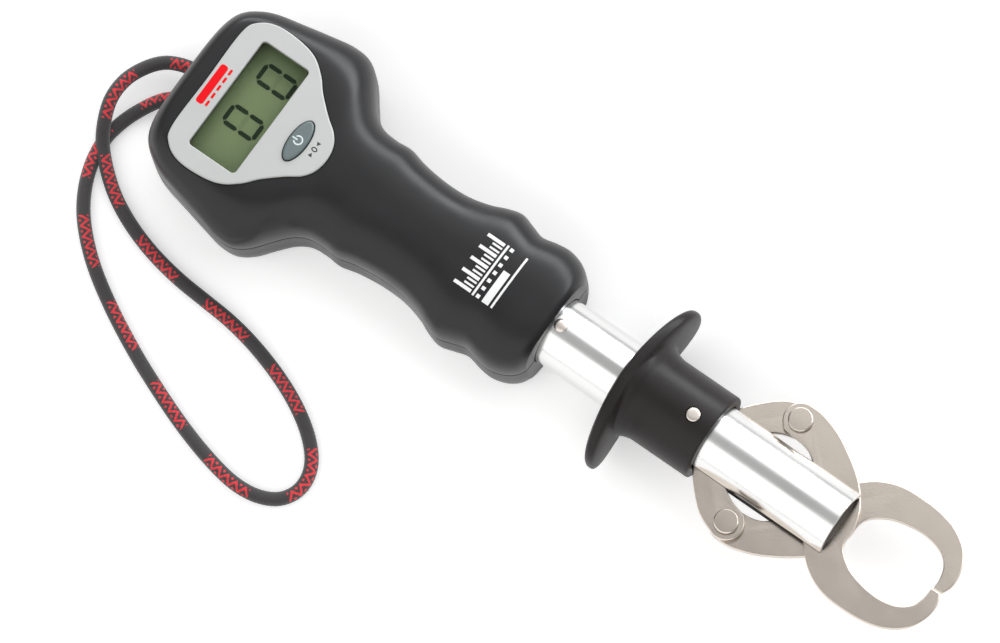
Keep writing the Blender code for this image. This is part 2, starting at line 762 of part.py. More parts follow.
# ---------------------------------------------------------------- load path
def load_cell():
    """Makes the load cell with its twin holes, its screws, the tube's anchor and its cross pin."""
    cell = box("load_cell", CELL_LOW, CELL_HIGH, "milled_aluminium", bevel=0.0003)
    middle = (CELL_LOW[0] + CELL_HIGH[0]) / 2 + 0.0010
    holes = []
    for number, side in enumerate((-1, 1)):
        x = middle + side * 0.0055
        holes.append(rod(f"gauge_hole_{number}", 0.0035, (x, -0.02, AXIS_Z), (x, 0.02, AXIS_Z), sides=20))
    slit_low = (middle - 0.0055, -0.02, AXIS_Z - 0.0005)
    slit_high = (middle + 0.0055, 0.02, AXIS_Z + 0.0005)
    holes.append(box("gauge_slit", slit_low, slit_high))
    gap_low = (ANCHOR_PIN_X - 0.0040, -0.02, AXIS_Z - 0.0021)
    gap_high = (CELL_HIGH[0] + 0.01, 0.02, AXIS_Z + 0.0021)
    holes.append(box("clevis_gap", gap_low, gap_high))
    holes.append(rod("cell_pin_hole", 0.0018, (ANCHOR_PIN_X, 0, 0), (ANCHOR_PIN_X, 0, 0.04), sides=16))
    for number, x in enumerate(CELL_SCREWS_X):
        holes.append(rod(f"cell_screw_hole_{number}", 0.0017, (x, 0, 0), (x, 0, 0.04), sides=16))
    cut(cell, *holes)
    for number, x in enumerate(CELL_SCREWS_X, start=1):
        cell_screw(f"load_cell_screw_{number}", x)
    low = (ANCHOR_PIN_X, 0.0, CELL_LOW[2] - 0.0004)
    high = (ANCHOR_PIN_X, 0.0, CELL_HIGH[2] + 0.0004)
    rod("anchor_pin", 0.0015, low, high, "bright_steel", sides=16)


def cell_screw(name, x):
    """Makes a screw down through the load cell into the lower shell."""
    head_radius, shank_radius, head_height, length = 0.0026, 0.0013, 0.0018, 0.0140
    profile = [
        (0.0, head_height),
        (head_radius * 0.8, head_height),
        (head_radius, head_height * 0.7),
        (head_radius, 0.0),
        (shank_radius, 0.0),
        (shank_radius, -length),
        (0.0, -length),
    ]
    turned(name, profile, (x, 0.0, CELL_HIGH[2] + GAP), (0, 0, 1), "bright_steel", sides=12)


def tube_anchor():
    """Makes the plug in the tube's rear end, with the tongue that the load cell holds."""
    plug_front = NOSE + 0.0052
    anchor = rod(
        "tube_anchor",
        TUBE_BORE - GAP,
        (TUBE_REAR - 0.0004, 0.0, AXIS_Z),
        (plug_front, 0.0, AXIS_Z),
        "milled_aluminium",
        sides=24,
        bevel=0.0004,
    )
    tongue = box(
        "anchor_tongue",
        (ANCHOR_PIN_X - 0.0034, -0.0055, AXIS_Z - 0.0018),
        (TUBE_REAR + 0.002, 0.0055, AXIS_Z + 0.0018),
    )
    join(anchor, tongue)
    pin_hole = rod("tongue_hole", 0.0018, (ANCHOR_PIN_X, 0, 0), (ANCHOR_PIN_X, 0, 0.04), sides=16)
    rivet_hole = rod("anchor_rivet_hole", 0.0016, (RIVET_X, 0, AXIS_Z + 0.003), (RIVET_X, 0, 0.05), sides=16)
    return cut(anchor, pin_hole, rivet_hole)


def main_tube():
    """Makes the aluminium tube with its side slots, pin slots and pin holes."""
    tube = turned(
        "main_tube",
        [
            (TUBE_BORE, TUBE_FRONT - TUBE_REAR),
            (TUBE_RADIUS - 0.0003, TUBE_FRONT - TUBE_REAR),
            (TUBE_RADIUS, TUBE_FRONT - TUBE_REAR - 0.0003),
            (TUBE_RADIUS, 0.0),
            (TUBE_BORE, 0.0),
            (TUBE_BORE, TUBE_FRONT - TUBE_REAR),
        ],
        (TUBE_REAR, 0.0, AXIS_Z),
        (1, 0, 0),
        "polished_aluminium",
        sides=32,
    )
    half = TUBE_SLOT_HEIGHT / 2
    slot_low = (TUBE_SLOT_REAR, -0.02, AXIS_Z - half)
    side_slot = box("side_slot", slot_low, (TUBE_FRONT + 0.01, 0.02, AXIS_Z + half))
    pin_low = (SLEEVE_PIN - PULL - 0.0021, -PIN_HOLE, 0.0)
    pin_slot = box("pin_slot", pin_low, (SLEEVE_PIN + 0.0021, PIN_HOLE, 0.05))
    link_hole = rod("tube_link_hole", PIN_HOLE, (LINK_PIVOT, 0, 0), (LINK_PIVOT, 0, 0.05), sides=14)
    rivet_hole = rod("tube_rivet_hole", 0.0016, (RIVET_X, 0, AXIS_Z), (RIVET_X, 0, 0.05), sides=16)
    cut(tube, side_slot, pin_slot, link_hole, rivet_hole)
    rivet_profile = [
        (0.0, 0.0011),
        (0.0010, 0.0010),
        (0.0018, 0.0005),
        (0.0021, 0.0),
        (0.0013, 0.0),
        (0.0013, -0.0060),
        (0.0, -0.0060),
    ]
    seat = (RIVET_X, 0.0, AXIS_Z + TUBE_RADIUS + GAP)
    turned("tube_rivet", rivet_profile, seat, (0, 0, 1), "bright_steel", sides=20)


# ---------------------------------------------------------------- trigger
def flange_form():
    """Makes the finger flange: a flattened superellipsoid, swept forward towards its tips."""
    bm = bmesh.new()
    bmesh.ops.create_uvsphere(bm, u_segments=28, v_segments=12, radius=1.0)
    bmesh.ops.rotate(bm, cent=(0, 0, 0), matrix=Matrix.Rotation(math.pi / 2, 3, "Y"), verts=bm.verts)
    for vert in bm.verts:
        x, y, z = vert.co
        around = math.atan2(z, y)
        spread = math.hypot(y, z)
        across, up = super_point(around, 2.5)
        thickness = math.copysign(abs(x) ** 0.75, x)
        reach = spread**0.9
        y_out = FLANGE_HALF_WIDTH * across * reach
        z_out = FLANGE_HALF_HEIGHT * up * reach
        sweep = FLANGE_SWEEP * (abs(y_out) / FLANGE_HALF_WIDTH) ** 1.6
        vert.co = (
            SLEEVE_REAR + FLANGE_HALF_THICKNESS + 0.0004 + FLANGE_HALF_THICKNESS * thickness + sweep,
            y_out,
            AXIS_Z + z_out,
        )
    return place("flange_form", mesh_from(bm, "flange_form"))


def trigger_sleeve():
    """Makes the sliding sleeve with its finger flange, bore and pin hole."""
    length = SLEEVE_FRONT - SLEEVE_REAR
    sleeve = turned(
        "trigger_sleeve",
        [
            (0.0, length),
            (SLEEVE_RADIUS - 0.0006, length),
            (SLEEVE_RADIUS, length - 0.0006),
            (SLEEVE_RADIUS, 0.0120),
            (SLEEVE_RADIUS + 0.0008, 0.0092),
            (SLEEVE_RADIUS + 0.0024, 0.0068),
            (SLEEVE_RADIUS + 0.0026, 0.0010),
            (SLEEVE_RADIUS + 0.0018, 0.0),
            (0.0, 0.0),
        ],
        (SLEEVE_REAR, 0.0, AXIS_Z),
        (1, 0, 0),
        "trigger_plastic",
        sides=28,
    )
    join(sleeve, flange_form())
    bore = rod(
        "sleeve_bore",
        SLEEVE_BORE + SLIDE_FIT,
        (SLEEVE_REAR - 0.01, 0.0, AXIS_Z),
        (SLEEVE_FRONT + 0.01, 0.0, AXIS_Z),
        sides=28,
    )
    pin_hole = rod("sleeve_pin_hole", PIN_HOLE, (SLEEVE_PIN, 0, -0.01), (SLEEVE_PIN, 0, 0.05), sides=14)
    head_low = (SLEEVE_PIN, 0, AXIS_Z + PIN_HEAD_LOW - GAP)
    head_hole = rod("sleeve_head_hole", PIN_HEAD_RADIUS + GAP, head_low, (SLEEVE_PIN, 0, 0.05), sides=20)
    cut(sleeve, bore, pin_hole, head_hole)
    top = SLEEVE_RADIUS + 0.0004
    profile = [
        (0.0, top),
        (PIN_HEAD_RADIUS - 0.0005, top - 0.0001),
        (PIN_HEAD_RADIUS, top - 0.0005),
        (PIN_HEAD_RADIUS, PIN_HEAD_LOW),
        (PIN_RADIUS, PIN_HEAD_LOW),
        (PIN_RADIUS, 0.0008 - SLEEVE_RADIUS),
        (0.0, 0.0008 - SLEEVE_RADIUS),
    ]
    turned("sleeve_pin", profile, (SLEEVE_PIN, 0.0, AXIS_Z), (0, 0, 1), "bright_steel", sides=16)


def jaw_carriers():
    """Makes the two half-round halves of the carrier, and the pivot pin that holds the jaws."""
    front, rear = TUBE_FRONT - 0.0008, TUBE_FRONT - 0.0600
    flat = 2 * LAYER_Z + GAP
    for name, side in (("carrier_upper", 1), ("carrier_lower", -1)):
        carrier = rod(
            name,
            TUBE_BORE - GAP,
            (rear, 0.0, AXIS_Z),
            (front, 0.0, AXIS_Z),
            "carrier_plastic",
            sides=24,
            bevel=0.0003,
        )
        low_z, high_z = sorted((AXIS_Z + side * flat, AXIS_Z - side * 0.02))
        waste = box(name + "_waste", (rear - 0.01, -0.02, low_z), (front + 0.01, 0.02, high_z))
        slot = link_slot(name + "_slot")
        pin = rod(name + "_pin_hole", PIN_HOLE, (SLEEVE_PIN, 0, -0.01), (SLEEVE_PIN, 0, 0.05), sides=14)
        pivot_low = (JAW_PIVOT, 0, AXIS_Z - 0.0080)
        pivot_high = (JAW_PIVOT, 0, AXIS_Z + 0.0080)
        pivot = rod(name + "_pivot_hole", 0.0023, pivot_low, pivot_high, sides=16)
        cut(carrier, waste, slot, pin, pivot)
    low = (JAW_PIVOT, 0.0, AXIS_Z - 0.0077)
    high = (JAW_PIVOT, 0.0, AXIS_Z + 0.0077)
    rod("jaw_pivot_pin", 0.0020, low, high, "bright_steel", sides=20)


def link_slot(name):
    """Makes the cutter that lets the fixed link pin pass through the moving carrier."""
    slot = rod(name, PIN_HOLE, (LINK_PIVOT, 0, 0.0), (LINK_PIVOT, 0, 0.05), sides=12)
    far = rod(name + "_far", PIN_HOLE, (LINK_PIVOT + PULL, 0, 0.0), (LINK_PIVOT + PULL, 0, 0.05), sides=12)
    middle = box(name + "_middle", (LINK_PIVOT, -PIN_HOLE, 0.0), (LINK_PIVOT + PULL, PIN_HOLE, 0.05))
    return join(slot, far, middle)


def return_spring():
    """Makes the compression spring between the tube's anchor and the carrier."""
    start, end = NOSE + 0.0052 + 0.0011, TUBE_FRONT - 0.0600 - 0.0011
    turns, radius, wire = 7.0, 0.0078, 0.00055
    count = int(turns * 10)
    curve = bpy.data.curves.new("return_spring", "CURVE")
    curve.dimensions = "3D"
    curve.bevel_depth = wire
    curve.bevel_resolution = 1
    curve.use_fill_caps = True
    spline = curve.splines.new("POLY")
    spline.points.add(count)
    for number, point in enumerate(spline.points):
        share = number / count
        angle = 2 * math.pi * turns * share
        # The first and last turns lie close together, as on a ground spring end.
        opened = min(1.0, max(0.0, (share - 0.12) / 0.76))
        x = start + (end - start) * (0.08 * share + 0.92 * opened)
        point.co = (x, radius * math.cos(angle), AXIS_Z + radius * math.sin(angle), 1.0)
    obj = bpy.data.objects.new("return_spring", curve)
    CUTTERS.objects.link(obj)
    bpy.context.view_layer.update()
    settled(obj, "return_spring", "spring_steel")


# ---------------------------------------------------------------- jaws and links
def from_front(points, mirror=1):
    """Moves outline points from the tube's front end to the model, mirrored in Y when asked."""
    return [(TUBE_FRONT + x, mirror * y) for x, y in points]


def arc(centre, radius, start, end, points):
    """Gives points on an arc, from start to end in degrees."""
    angles = [math.radians(start + (end - start) * number / (points - 1)) for number in range(points)]
    return [(centre[0] + radius * math.cos(a), centre[1] + radius * math.sin(a)) for a in angles]


def jaw(name, elbow_side, layer):
    """Makes one jaw plate: an elbow, an arm across the tube and half of the gripping ring."""
    elbow = (ELBOW[0] - TUBE_FRONT, ELBOW[1])
    outline = list(JAW_OUTLINE) + arc(elbow, 0.0055, 250, 60, 6)
    middle = AXIS_Z + layer * LAYER_Z
    jaw_plate = plate(
        name,
        from_front(outline, elbow_side),
        middle - PLATE / 2,
        middle + PLATE / 2,
        "satin_steel",
        corners=JAW_TIP_POINTS,
        rounds=2,
        edge=0.0003,
    )
    x, y = ELBOW[0], elbow_side * ELBOW[1]
    elbow_hole = rod(name + "_elbow_hole", 0.0026, (x, y, 0.0), (x, y, 0.05), sides=20)
    pivot_hole = rod(name + "_pivot_hole", 0.0023, (JAW_PIVOT, 0, 0.0), (JAW_PIVOT, 0, 0.05), sides=20)
    return cut(jaw_plate, elbow_hole, pivot_hole)


def link(name, side, layer):
    """Makes one link plate from the fixed pin in the tube to an elbow."""
    elbow = (ELBOW[0] - TUBE_FRONT, ELBOW[1])
    eye = (LINK_PIVOT - TUBE_FRONT, 0.0)
    outline = arc(elbow, 0.0055, 110, -60, 7) + list(reversed(LINK_INNER))
    outline += arc(eye, LINK_EYE, -30, -190, 6) + list(reversed(LINK_OUTER))
    middle = AXIS_Z + layer * LAYER_Z
    link_plate = plate(
        name,
        from_front(outline, side),
        middle - PLATE / 2,
        middle + PLATE / 2,
        "satin_steel",
        rounds=2,
        edge=0.0003,
    )
    x, y = ELBOW[0], side * ELBOW[1]
    elbow_hole = rod(name + "_elbow_hole", 0.0021, (x, y, 0.0), (x, y, 0.05), sides=20)
    pivot_hole = rod(name + "_pivot_hole", PIN_HOLE, (LINK_PIVOT, 0, 0.0), (LINK_PIVOT, 0, 0.05), sides=14)
    return cut(link_plate, elbow_hole, pivot_hole)


def elbow_rivet(name, side):
    """Makes the rivet that joins a jaw's elbow to its link, with a head on each face."""
    face = LAYER_Z + PLATE / 2 + GAP
    head, thick, shank = 0.0038, 0.0012, 0.0018
    profile = [
        (0.0, face + thick),
        (head - 0.0008, face + thick),
        (head - 0.0001, face + thick - 0.0004),
        (head, face),
        (shank, face),
        (shank, -face),
        (head, -face),
        (head - 0.0001, -face - thick + 0.0004),
        (head - 0.0008, -face - thick),
        (0.0, -face - thick),
    ]
    turned(name, profile, (ELBOW[0], side * ELBOW[1], AXIS_Z), (0, 0, 1), "satin_steel", sides=20)


def gripper():
    """Makes the jaws, links, elbow rivets and the pin fixed in the tube."""
    jaw("jaw_a", 1, 1)
    jaw("jaw_b", -1, -1)
    link("link_a", 1, -1)
    link("link_b", -1, 1)
    elbow_rivet("elbow_rivet_a", 1)
    elbow_rivet("elbow_rivet_b", -1)
    reach = TUBE_RADIUS - 0.0002
    low, high = (LINK_PIVOT, 0.0, AXIS_Z - reach), (LINK_PIVOT, 0.0, AXIS_Z + reach)
    rod("link_pivot_pin", PIN_RADIUS, low, high, "bright_steel", sides=14)


# ---------------------------------------------------------------- lanyard
def lanyard():
    """Makes the lanyard's cord and the ferrule that holds its two ends inside the head."""
    smooth = catmull_rom([(TUBE_FRONT + x, y, z) for x, y, z in CORD_ROUTE], 12)
    points = [smooth[0]]
    for point in smooth[1:-1]:
        if (point - points[-1]).length >= CORD_STEP:
            points.append(point)
    points.append(smooth[-1])
    curve = bpy.data.curves.new("lanyard_cord", "CURVE")
    curve.dimensions = "3D"
    curve.bevel_depth = CORD_RADIUS
    curve.bevel_resolution = 2
    curve.use_fill_caps = True
    spline = curve.splines.new("POLY")
    spline.points.add(len(points) - 1)
    for target, point in zip(spline.points, points):
        target.co = (*point, 1.0)
    obj = bpy.data.objects.new("lanyard_cord", curve)
    CUTTERS.objects.link(obj)
    bpy.context.view_layer.update()
    settled(obj, "lanyard_cord", "woven_cord")
    z = AXIS_Z - CORD_DROP
    front = TUBE_FRONT + CORD_ROUTE[0][0]
    low = (front + GAP, -0.0095, z - 0.0032)
    high = (front + 0.0055, 0.0090, z + 0.0032)
    box("lanyard_ferrule", low, high, "brass", bevel=0.0006)


def build():
    """Makes the whole scale."""
    upper_shell()
    lower_shell()
    bezel_plate()
    display()
    power_button()
    circuit_board()
    batteries()
    battery_door()
    housing_screws()
    load_cell()
    tube_anchor()
    main_tube()
    trigger_sleeve()
    jaw_carriers()
    return_spring()
    gripper()
    lanyard()


build()
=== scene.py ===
"""The visible pieces of a digital fish scale and their finishes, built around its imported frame.

Metres. +X runs along the tube towards the jaws, +Z is up out of the display, and the back of the
handle lies on the floor at z = 0.
"""

from __future__ import annotations

import json
import logging
import math
from collections.abc import Callable, Sequence
from dataclasses import dataclass, field, replace
from enum import Enum

import bmesh
import bpy
from mathutils import Matrix, Vector
from mathutils.bvhtree import BVHTree

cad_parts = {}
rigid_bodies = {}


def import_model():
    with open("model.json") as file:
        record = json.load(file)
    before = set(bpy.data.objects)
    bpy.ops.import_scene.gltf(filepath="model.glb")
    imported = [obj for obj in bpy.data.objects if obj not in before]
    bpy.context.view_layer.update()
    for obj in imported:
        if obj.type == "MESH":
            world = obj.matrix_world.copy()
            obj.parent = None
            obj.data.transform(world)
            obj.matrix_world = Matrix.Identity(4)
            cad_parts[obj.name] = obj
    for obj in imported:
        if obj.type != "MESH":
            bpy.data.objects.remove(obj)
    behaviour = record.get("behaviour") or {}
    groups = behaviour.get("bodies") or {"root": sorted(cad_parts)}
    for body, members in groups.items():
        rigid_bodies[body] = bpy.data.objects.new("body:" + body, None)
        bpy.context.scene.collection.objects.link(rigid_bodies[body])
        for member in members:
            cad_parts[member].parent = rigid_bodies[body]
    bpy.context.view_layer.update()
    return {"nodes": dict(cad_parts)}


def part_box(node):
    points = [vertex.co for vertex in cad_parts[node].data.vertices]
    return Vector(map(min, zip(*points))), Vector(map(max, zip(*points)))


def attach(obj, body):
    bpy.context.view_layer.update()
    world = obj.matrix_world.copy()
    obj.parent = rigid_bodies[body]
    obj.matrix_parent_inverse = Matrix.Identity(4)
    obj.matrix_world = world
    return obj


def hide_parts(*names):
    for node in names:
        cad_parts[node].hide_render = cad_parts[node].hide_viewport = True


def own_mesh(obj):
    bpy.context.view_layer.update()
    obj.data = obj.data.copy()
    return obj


LOG = logging.getLogger("fish_scale")
MM = 0.001
FULL_TURN = 2 * math.pi

# How near counts as one place: in a new form, after a cut, and for heights along a rim.
WELD = 1e-7
CUT_WELD = 2e-6
LEVEL = 1e-6
PLACE_DIGITS = 6

# The play between pieces, heights under and over the whole tool, and how far a cutter stands out.
GAP = 0.3 * MM
UNDER, OVER = -0.01, 0.05
PAST = 0.01

# Length of the battery door's panel, which its tab continues forward.
DOOR_PANEL = 0.0237

Colour = tuple[float, float, float]
Point2 = tuple[float, float]
Shape = Callable[[float, float], Vector]


# ---------------------------------------------------------------- finishes
COAT_ROUGHNESS = 0.12
LEAST_ROUGHNESS = 0.02
DRIFT_RANGE = (0.3, 0.7)
WORN_GAIN, WORN_LIFT = 1.5, 0.10
WORN_EDGES = (0.53, 0.62)
BUMP_DEPTH = 0.1 * MM
BUMP_GAIN = 10
EVEN = (1.0, 1.0, 1.0)


class Grain(Enum):
    """The fine surface of a finish: stretch of its pattern along X, Y and Z, and lines a metre."""

    MOULDED = ((1.0, 1.0, 1.0), 5200.0)
    SOFT_TOUCH = ((1.0, 1.0, 1.0), 7500.0)
    DRAWN = ((0.012, 1.0, 1.0), 5200.0)
    LINISHED = ((1.0, 0.10, 1.0), 4200.0)
    TUMBLED = ((1.0, 1.0, 1.0), 2600.0)
    TURNED = ((1.0, 1.0, 0.3), 3400.0)
    CLEAR = ((1.0, 1.0, 1.0), 90.0)
    FIBRE = ((1.0, 0.25, 1.0), 6000.0)


@dataclass(frozen=True)
class Finish:
    """A finish with its grain, its slow drift of colour and gloss, and its worn edges."""

    slot: str
    colour: Colour
    roughness: float
    grain: Grain
    metallic: float = 0.0
    drift: float = 0.08
    gloss_drift: float = 0.06
    drift_scale: float = 60.0
    bump: float = 0.012
    wear: float = 0.0
    coat: float = 0.0
    alpha: float = 1.0
    emission: float = 0.0
    specular: float = 0.5
    label: str = ""

    @property
    def name(self) -> str:
        """The material's own name."""
        return f"{self.label or self.slot}_finish"

    def shades(self) -> tuple[Colour, Colour]:
        """Gives the colours that the finish drifts between.

        Returns:
            The darkest and the lightest of them.
        """
        dark = tuple(channel * (1 - self.drift) for channel in self.colour)
        light = tuple(min(1.0, channel * (1 + self.drift)) for channel in self.colour)
        return dark, light

    def material(self) -> bpy.types.Material:
        """Makes the material, or gives the one that is already made.

        Returns:
            The finish as a node material.
        """
        made = bpy.data.materials.get(self.name)
        if made is not None:
            return made
        made = bpy.data.materials.new(self.name)
        made.use_nodes = True
        web = Web(made)
        shader = web.shader
        shader.inputs["Metallic"].default_value = self.metallic
        shader.inputs["Coat Weight"].default_value = self.coat
        shader.inputs["Coat Roughness"].default_value = COAT_ROUGHNESS
        shader.inputs["Alpha"].default_value = self.alpha
        shader.inputs["Emission Color"].default_value = (1.0, 1.0, 1.0, 1.0)
        shader.inputs["Emission Strength"].default_value = self.emission
        shader.inputs["Specular IOR Level"].default_value = self.specular
        slow = web.noise(self.drift_scale, 3.0, EVEN)
        stretch, lines = self.grain.value
        fine = web.noise(lines, 2.0, stretch)
        colour = web.mix(slow, *self.shades())
        if self.wear:
            worn = tuple(min(1.0, channel * WORN_GAIN + WORN_LIFT) for channel in self.colour)
            colour = web.blend(web.edges(self.wear), colour, worn)
        web.link(colour, shader.inputs["Base Color"])
        glossy = max(LEAST_ROUGHNESS, self.roughness - self.gloss_drift)
        dull = min(1.0, self.roughness + self.gloss_drift)
        web.link(web.span(slow, *DRIFT_RANGE, glossy, dull), shader.inputs["Roughness"])
        web.link(web.bump(fine, self.bump, BUMP_DEPTH), shader.inputs["Normal"])
        self.dress(web)
        return made

    def dress(self, web: Web) -> None:
        """Adds what a special finish has; a plain one has nothing more."""


@dataclass(frozen=True)
class DyedCord(Finish):
    """Black polyester braid with a motif in a second yarn, where the dye attribute marks it."""

    yarn: Colour = (0.56, 0.012, 0.022)
    deep: Colour = (0.010, 0.009, 0.010)
    raised: Colour = (0.032, 0.028, 0.030)
    threads: float = 3200.0
    dye_edge: tuple[float, float] = (0.25, 0.75)
    sheen: float = 0.25
    sheen_roughness: float = 0.58

    def dress(self, web: Web) -> None:
        """Dyes the marked yarn.

        Args:
            web: The material's nodes.
        """
        dye = web.add("ShaderNodeAttribute")
        dye.attribute_name = "dye"
        ground = web.mix(web.noise(self.threads, 2.0, EVEN), self.deep, self.raised)
        tint = web.span(dye.outputs["Fac"], *self.dye_edge, 0.0, 1.0)
        web.link(web.blend(tint, ground, self.yarn), web.shader.inputs["Base Color"])
        web.shader.inputs["Sheen Weight"].default_value = self.sheen
        web.shader.inputs["Sheen Roughness"].default_value = self.sheen_roughness


@dataclass(frozen=True)
class ShadowedReflector(Finish):
    """The display's reflector: olive, with painted shade darkening it towards its rear edge,
    standing in for the shadow of the window's rear wall.
    """

    rear: float = 0.0
    front: float = 1.0
    # Factor for the darkest end of the painted shadow of the window's rear wall.
    rear_painted_shadow: float = 0.82

    def dress(self, web: Web) -> None:
        """Paints the window wall's shadow on the reflector along X, darkest at the rear edge.

        Args:
            web: The material's nodes.
        """
        along = web.span(web.axis("X"), self.rear, self.front, 0.0, 1.0)
        dark, light = self.shades()
        # Darkens the rear end: a painted shadow of the window's rear wall, not the reflector's own
        # colour.
        shade = web.mix(along, tuple(self.rear_painted_shadow * c for c in dark), light)
        web.link(shade, web.shader.inputs["Base Color"])


@dataclass(frozen=True)
class ShadedBore(Finish):
    """A finish for a tube along X, with painted shade darkening it inside its bore."""

    axis_z: float = 0.0
    bore: float = 1.0
    fade: float = 0.2 * MM
    # The colour painted within the bore is painted shade, where the hollow falls into shadow.
    inside: Colour = (0.06, 0.054, 0.052)

    def dress(self, web: Web) -> None:
        """Paints shade on what lies nearer the axis than the bore.

        Args:
            web: The material's nodes.
        """
        offset = web.vector("SUBTRACT", web.coords.outputs["Object"], (0.0, 0.0, self.axis_z))
        across = web.vector("MULTIPLY", offset.outputs["Vector"], (0.0, 1.0, 1.0))
        radius = web.vector("LENGTH", across.outputs["Vector"]).outputs["Value"]
        # Painted shade mask: 1 within the bore, fading to 0 at its wall.
        inside = web.span(radius, self.bore, self.bore + self.fade, 1.0, 0.0)
        colour = web.shader.inputs["Base Color"]
        web.link(web.blend(inside, colour.links[0].from_socket, self.inside), colour)


class Web:
    """The nodes of one material."""

    def __init__(self, material: bpy.types.Material) -> None:
        """Starts from the material's own shader.

        Args:
            material: A new material with nodes.
        """
        self.tree = material.node_tree
        self.shader = self.tree.nodes["Principled BSDF"]
        self.coords = self.add("ShaderNodeTexCoord")

    def add(self, kind: str) -> bpy.types.Node:
        """Adds a node of a kind."""
        return self.tree.nodes.new(kind)

    def link(self, start: bpy.types.NodeSocket, end: bpy.types.NodeSocket) -> None:
        """Joins an output to an input."""
        self.tree.links.new(start, end)

    def noise(self, scale: float, detail: float, stretch: Colour) -> bpy.types.NodeSocket:
        """Adds noise on the piece's own place.

        Args:
            scale: Cycles a metre.
            detail: Octaves of finer noise.
            stretch: Scale of the coordinates along X, Y and Z.

        Returns:
            The noise's factor.
        """
        mapping = self.add("ShaderNodeMapping")
        mapping.inputs["Scale"].default_value = stretch
        self.link(self.coords.outputs["Object"], mapping.inputs["Vector"])
        noise = self.add("ShaderNodeTexNoise")
        noise.inputs["Scale"].default_value = scale
        noise.inputs["Detail"].default_value = detail
        self.link(mapping.outputs["Vector"], noise.inputs["Vector"])
        return noise.outputs["Fac"]

    def axis(self, name: str) -> bpy.types.NodeSocket:
        """Gives one of the piece's coordinates.

        Args:
            name: X, Y or Z.

        Returns:
            The coordinate.
        """
        split = self.add("ShaderNodeSeparateXYZ")
        self.link(self.coords.outputs["Object"], split.inputs["Vector"])
        return split.outputs[name]

    def vector(
        self, operation: str, value: bpy.types.NodeSocket, other: Colour = (0.0, 0.0, 0.0)
    ) -> bpy.types.Node:
        """Works on a vector.

        Args:
            operation: What is done to it.
            value: The vector.
            other: The second vector, where the operation has one.

        Returns:
            The node that does it.
        """
        node = self.add("ShaderNodeVectorMath")
        node.operation = operation
        self.link(value, node.inputs[0])
        node.inputs[1].default_value = other
        return node

    def span(
        self, value: bpy.types.NodeSocket, low: float, high: float, to_low: float, to_high: float
    ) -> bpy.types.NodeSocket:
        """Maps a range of a value to another range.

        Args:
            value: What is mapped.
            low: Value that becomes to_low.
            high: Value that becomes to_high.
            to_low: Start of the new range.
            to_high: End of the new range.

        Returns:
            The mapped value.
        """
        node = self.add("ShaderNodeMapRange")
        self.link(value, node.inputs["Value"])
        for number, bound in enumerate((low, high, to_low, to_high), start=1):
            node.inputs[number].default_value = bound
        return node.outputs["Result"]

    def mix(
        self, factor: bpy.types.NodeSocket, dark: Colour, light: Colour
    ) -> bpy.types.NodeSocket:
        """Mixes two colours by a factor.

        Args:
            factor: Share of the second colour.
            dark: Colour at 0.
            light: Colour at 1.

        Returns:
            The mixed colour.
        """
        node = self.add("ShaderNodeMix")
        node.data_type = "RGBA"
        self.link(factor, node.inputs["Factor"])
        node.inputs["A"].default_value = (*dark, 1.0)
        node.inputs["B"].default_value = (*light, 1.0)
        return node.outputs["Result"]

    def blend(
        self, factor: bpy.types.NodeSocket, under: bpy.types.NodeSocket, over: Colour
    ) -> bpy.types.NodeSocket:
        """Lays a plain colour over another.

        Args:
            factor: How much of the colour covers.
            under: The colour beneath.
            over: The colour on top.

        Returns:
            The mixed colour.
        """
        node = self.add("ShaderNodeMix")
        node.data_type = "RGBA"
        self.link(factor, node.inputs["Factor"])
        self.link(under, node.inputs["A"])
        node.inputs["B"].default_value = (*over, 1.0)
        return node.outputs["Result"]

    def edges(self, strength: float) -> bpy.types.NodeSocket:
        """Marks outer edges, where a finish wears.

        Args:
            strength: The mark at a sharp edge.

        Returns:
            The mark.
        """
        shape = self.add("ShaderNodeNewGeometry")
        return self.span(shape.outputs["Pointiness"], *WORN_EDGES, 0.0, strength)

    def bump(
        self, height: bpy.types.NodeSocket, strength: float, depth: float
    ) -> bpy.types.NodeSocket:
        """Turns a height into a bump.

        Args:
            height: The height's factor.
            strength: Tenth of the share of the bump that shows.
            depth: Height of a factor of 1.

        Returns:
            The bumped normal.
        """
        node = self.add("ShaderNodeBump")
        node.inputs["Strength"].default_value = min(1.0, strength * BUMP_GAIN)
        node.inputs["Distance"].default_value = depth
        self.link(height, node.inputs["Height"])
        return node.outputs["Normal"]


CHARCOAL = Finish(
    "charcoal_plastic",
    (0.0095, 0.0095, 0.0105),
    0.34,
    Grain.SOFT_TOUCH,
    drift=0.10,
    specular=0.32,
    wear=0.04,
)
TRIGGER_BLACK = Finish(
    "trigger_plastic",
    (0.010, 0.008, 0.0078),
    0.40,
    Grain.MOULDED,
    drift=0.12,
    specular=0.25,
    wear=0.03,
)
CARRIER_GREY = Finish("carrier_plastic", (0.050, 0.043, 0.043), 0.55, Grain.MOULDED, bump=0.02)
SILVER = Finish(
    "silver_plastic", (0.395, 0.404, 0.397), 0.40, Grain.MOULDED, metallic=0.12, drift=0.03
)
BUTTON_TEAL = Finish("button_plastic", (0.10, 0.128, 0.130), 0.34, Grain.MOULDED, bump=0.008)
CLEAR = Finish(
    "clear_pane",
    (0.10, 0.12, 0.10),
    0.05,
    Grain.CLEAR,
    drift=0.02,
    gloss_drift=0.02,
    bump=0.001,
    alpha=0.03,
)
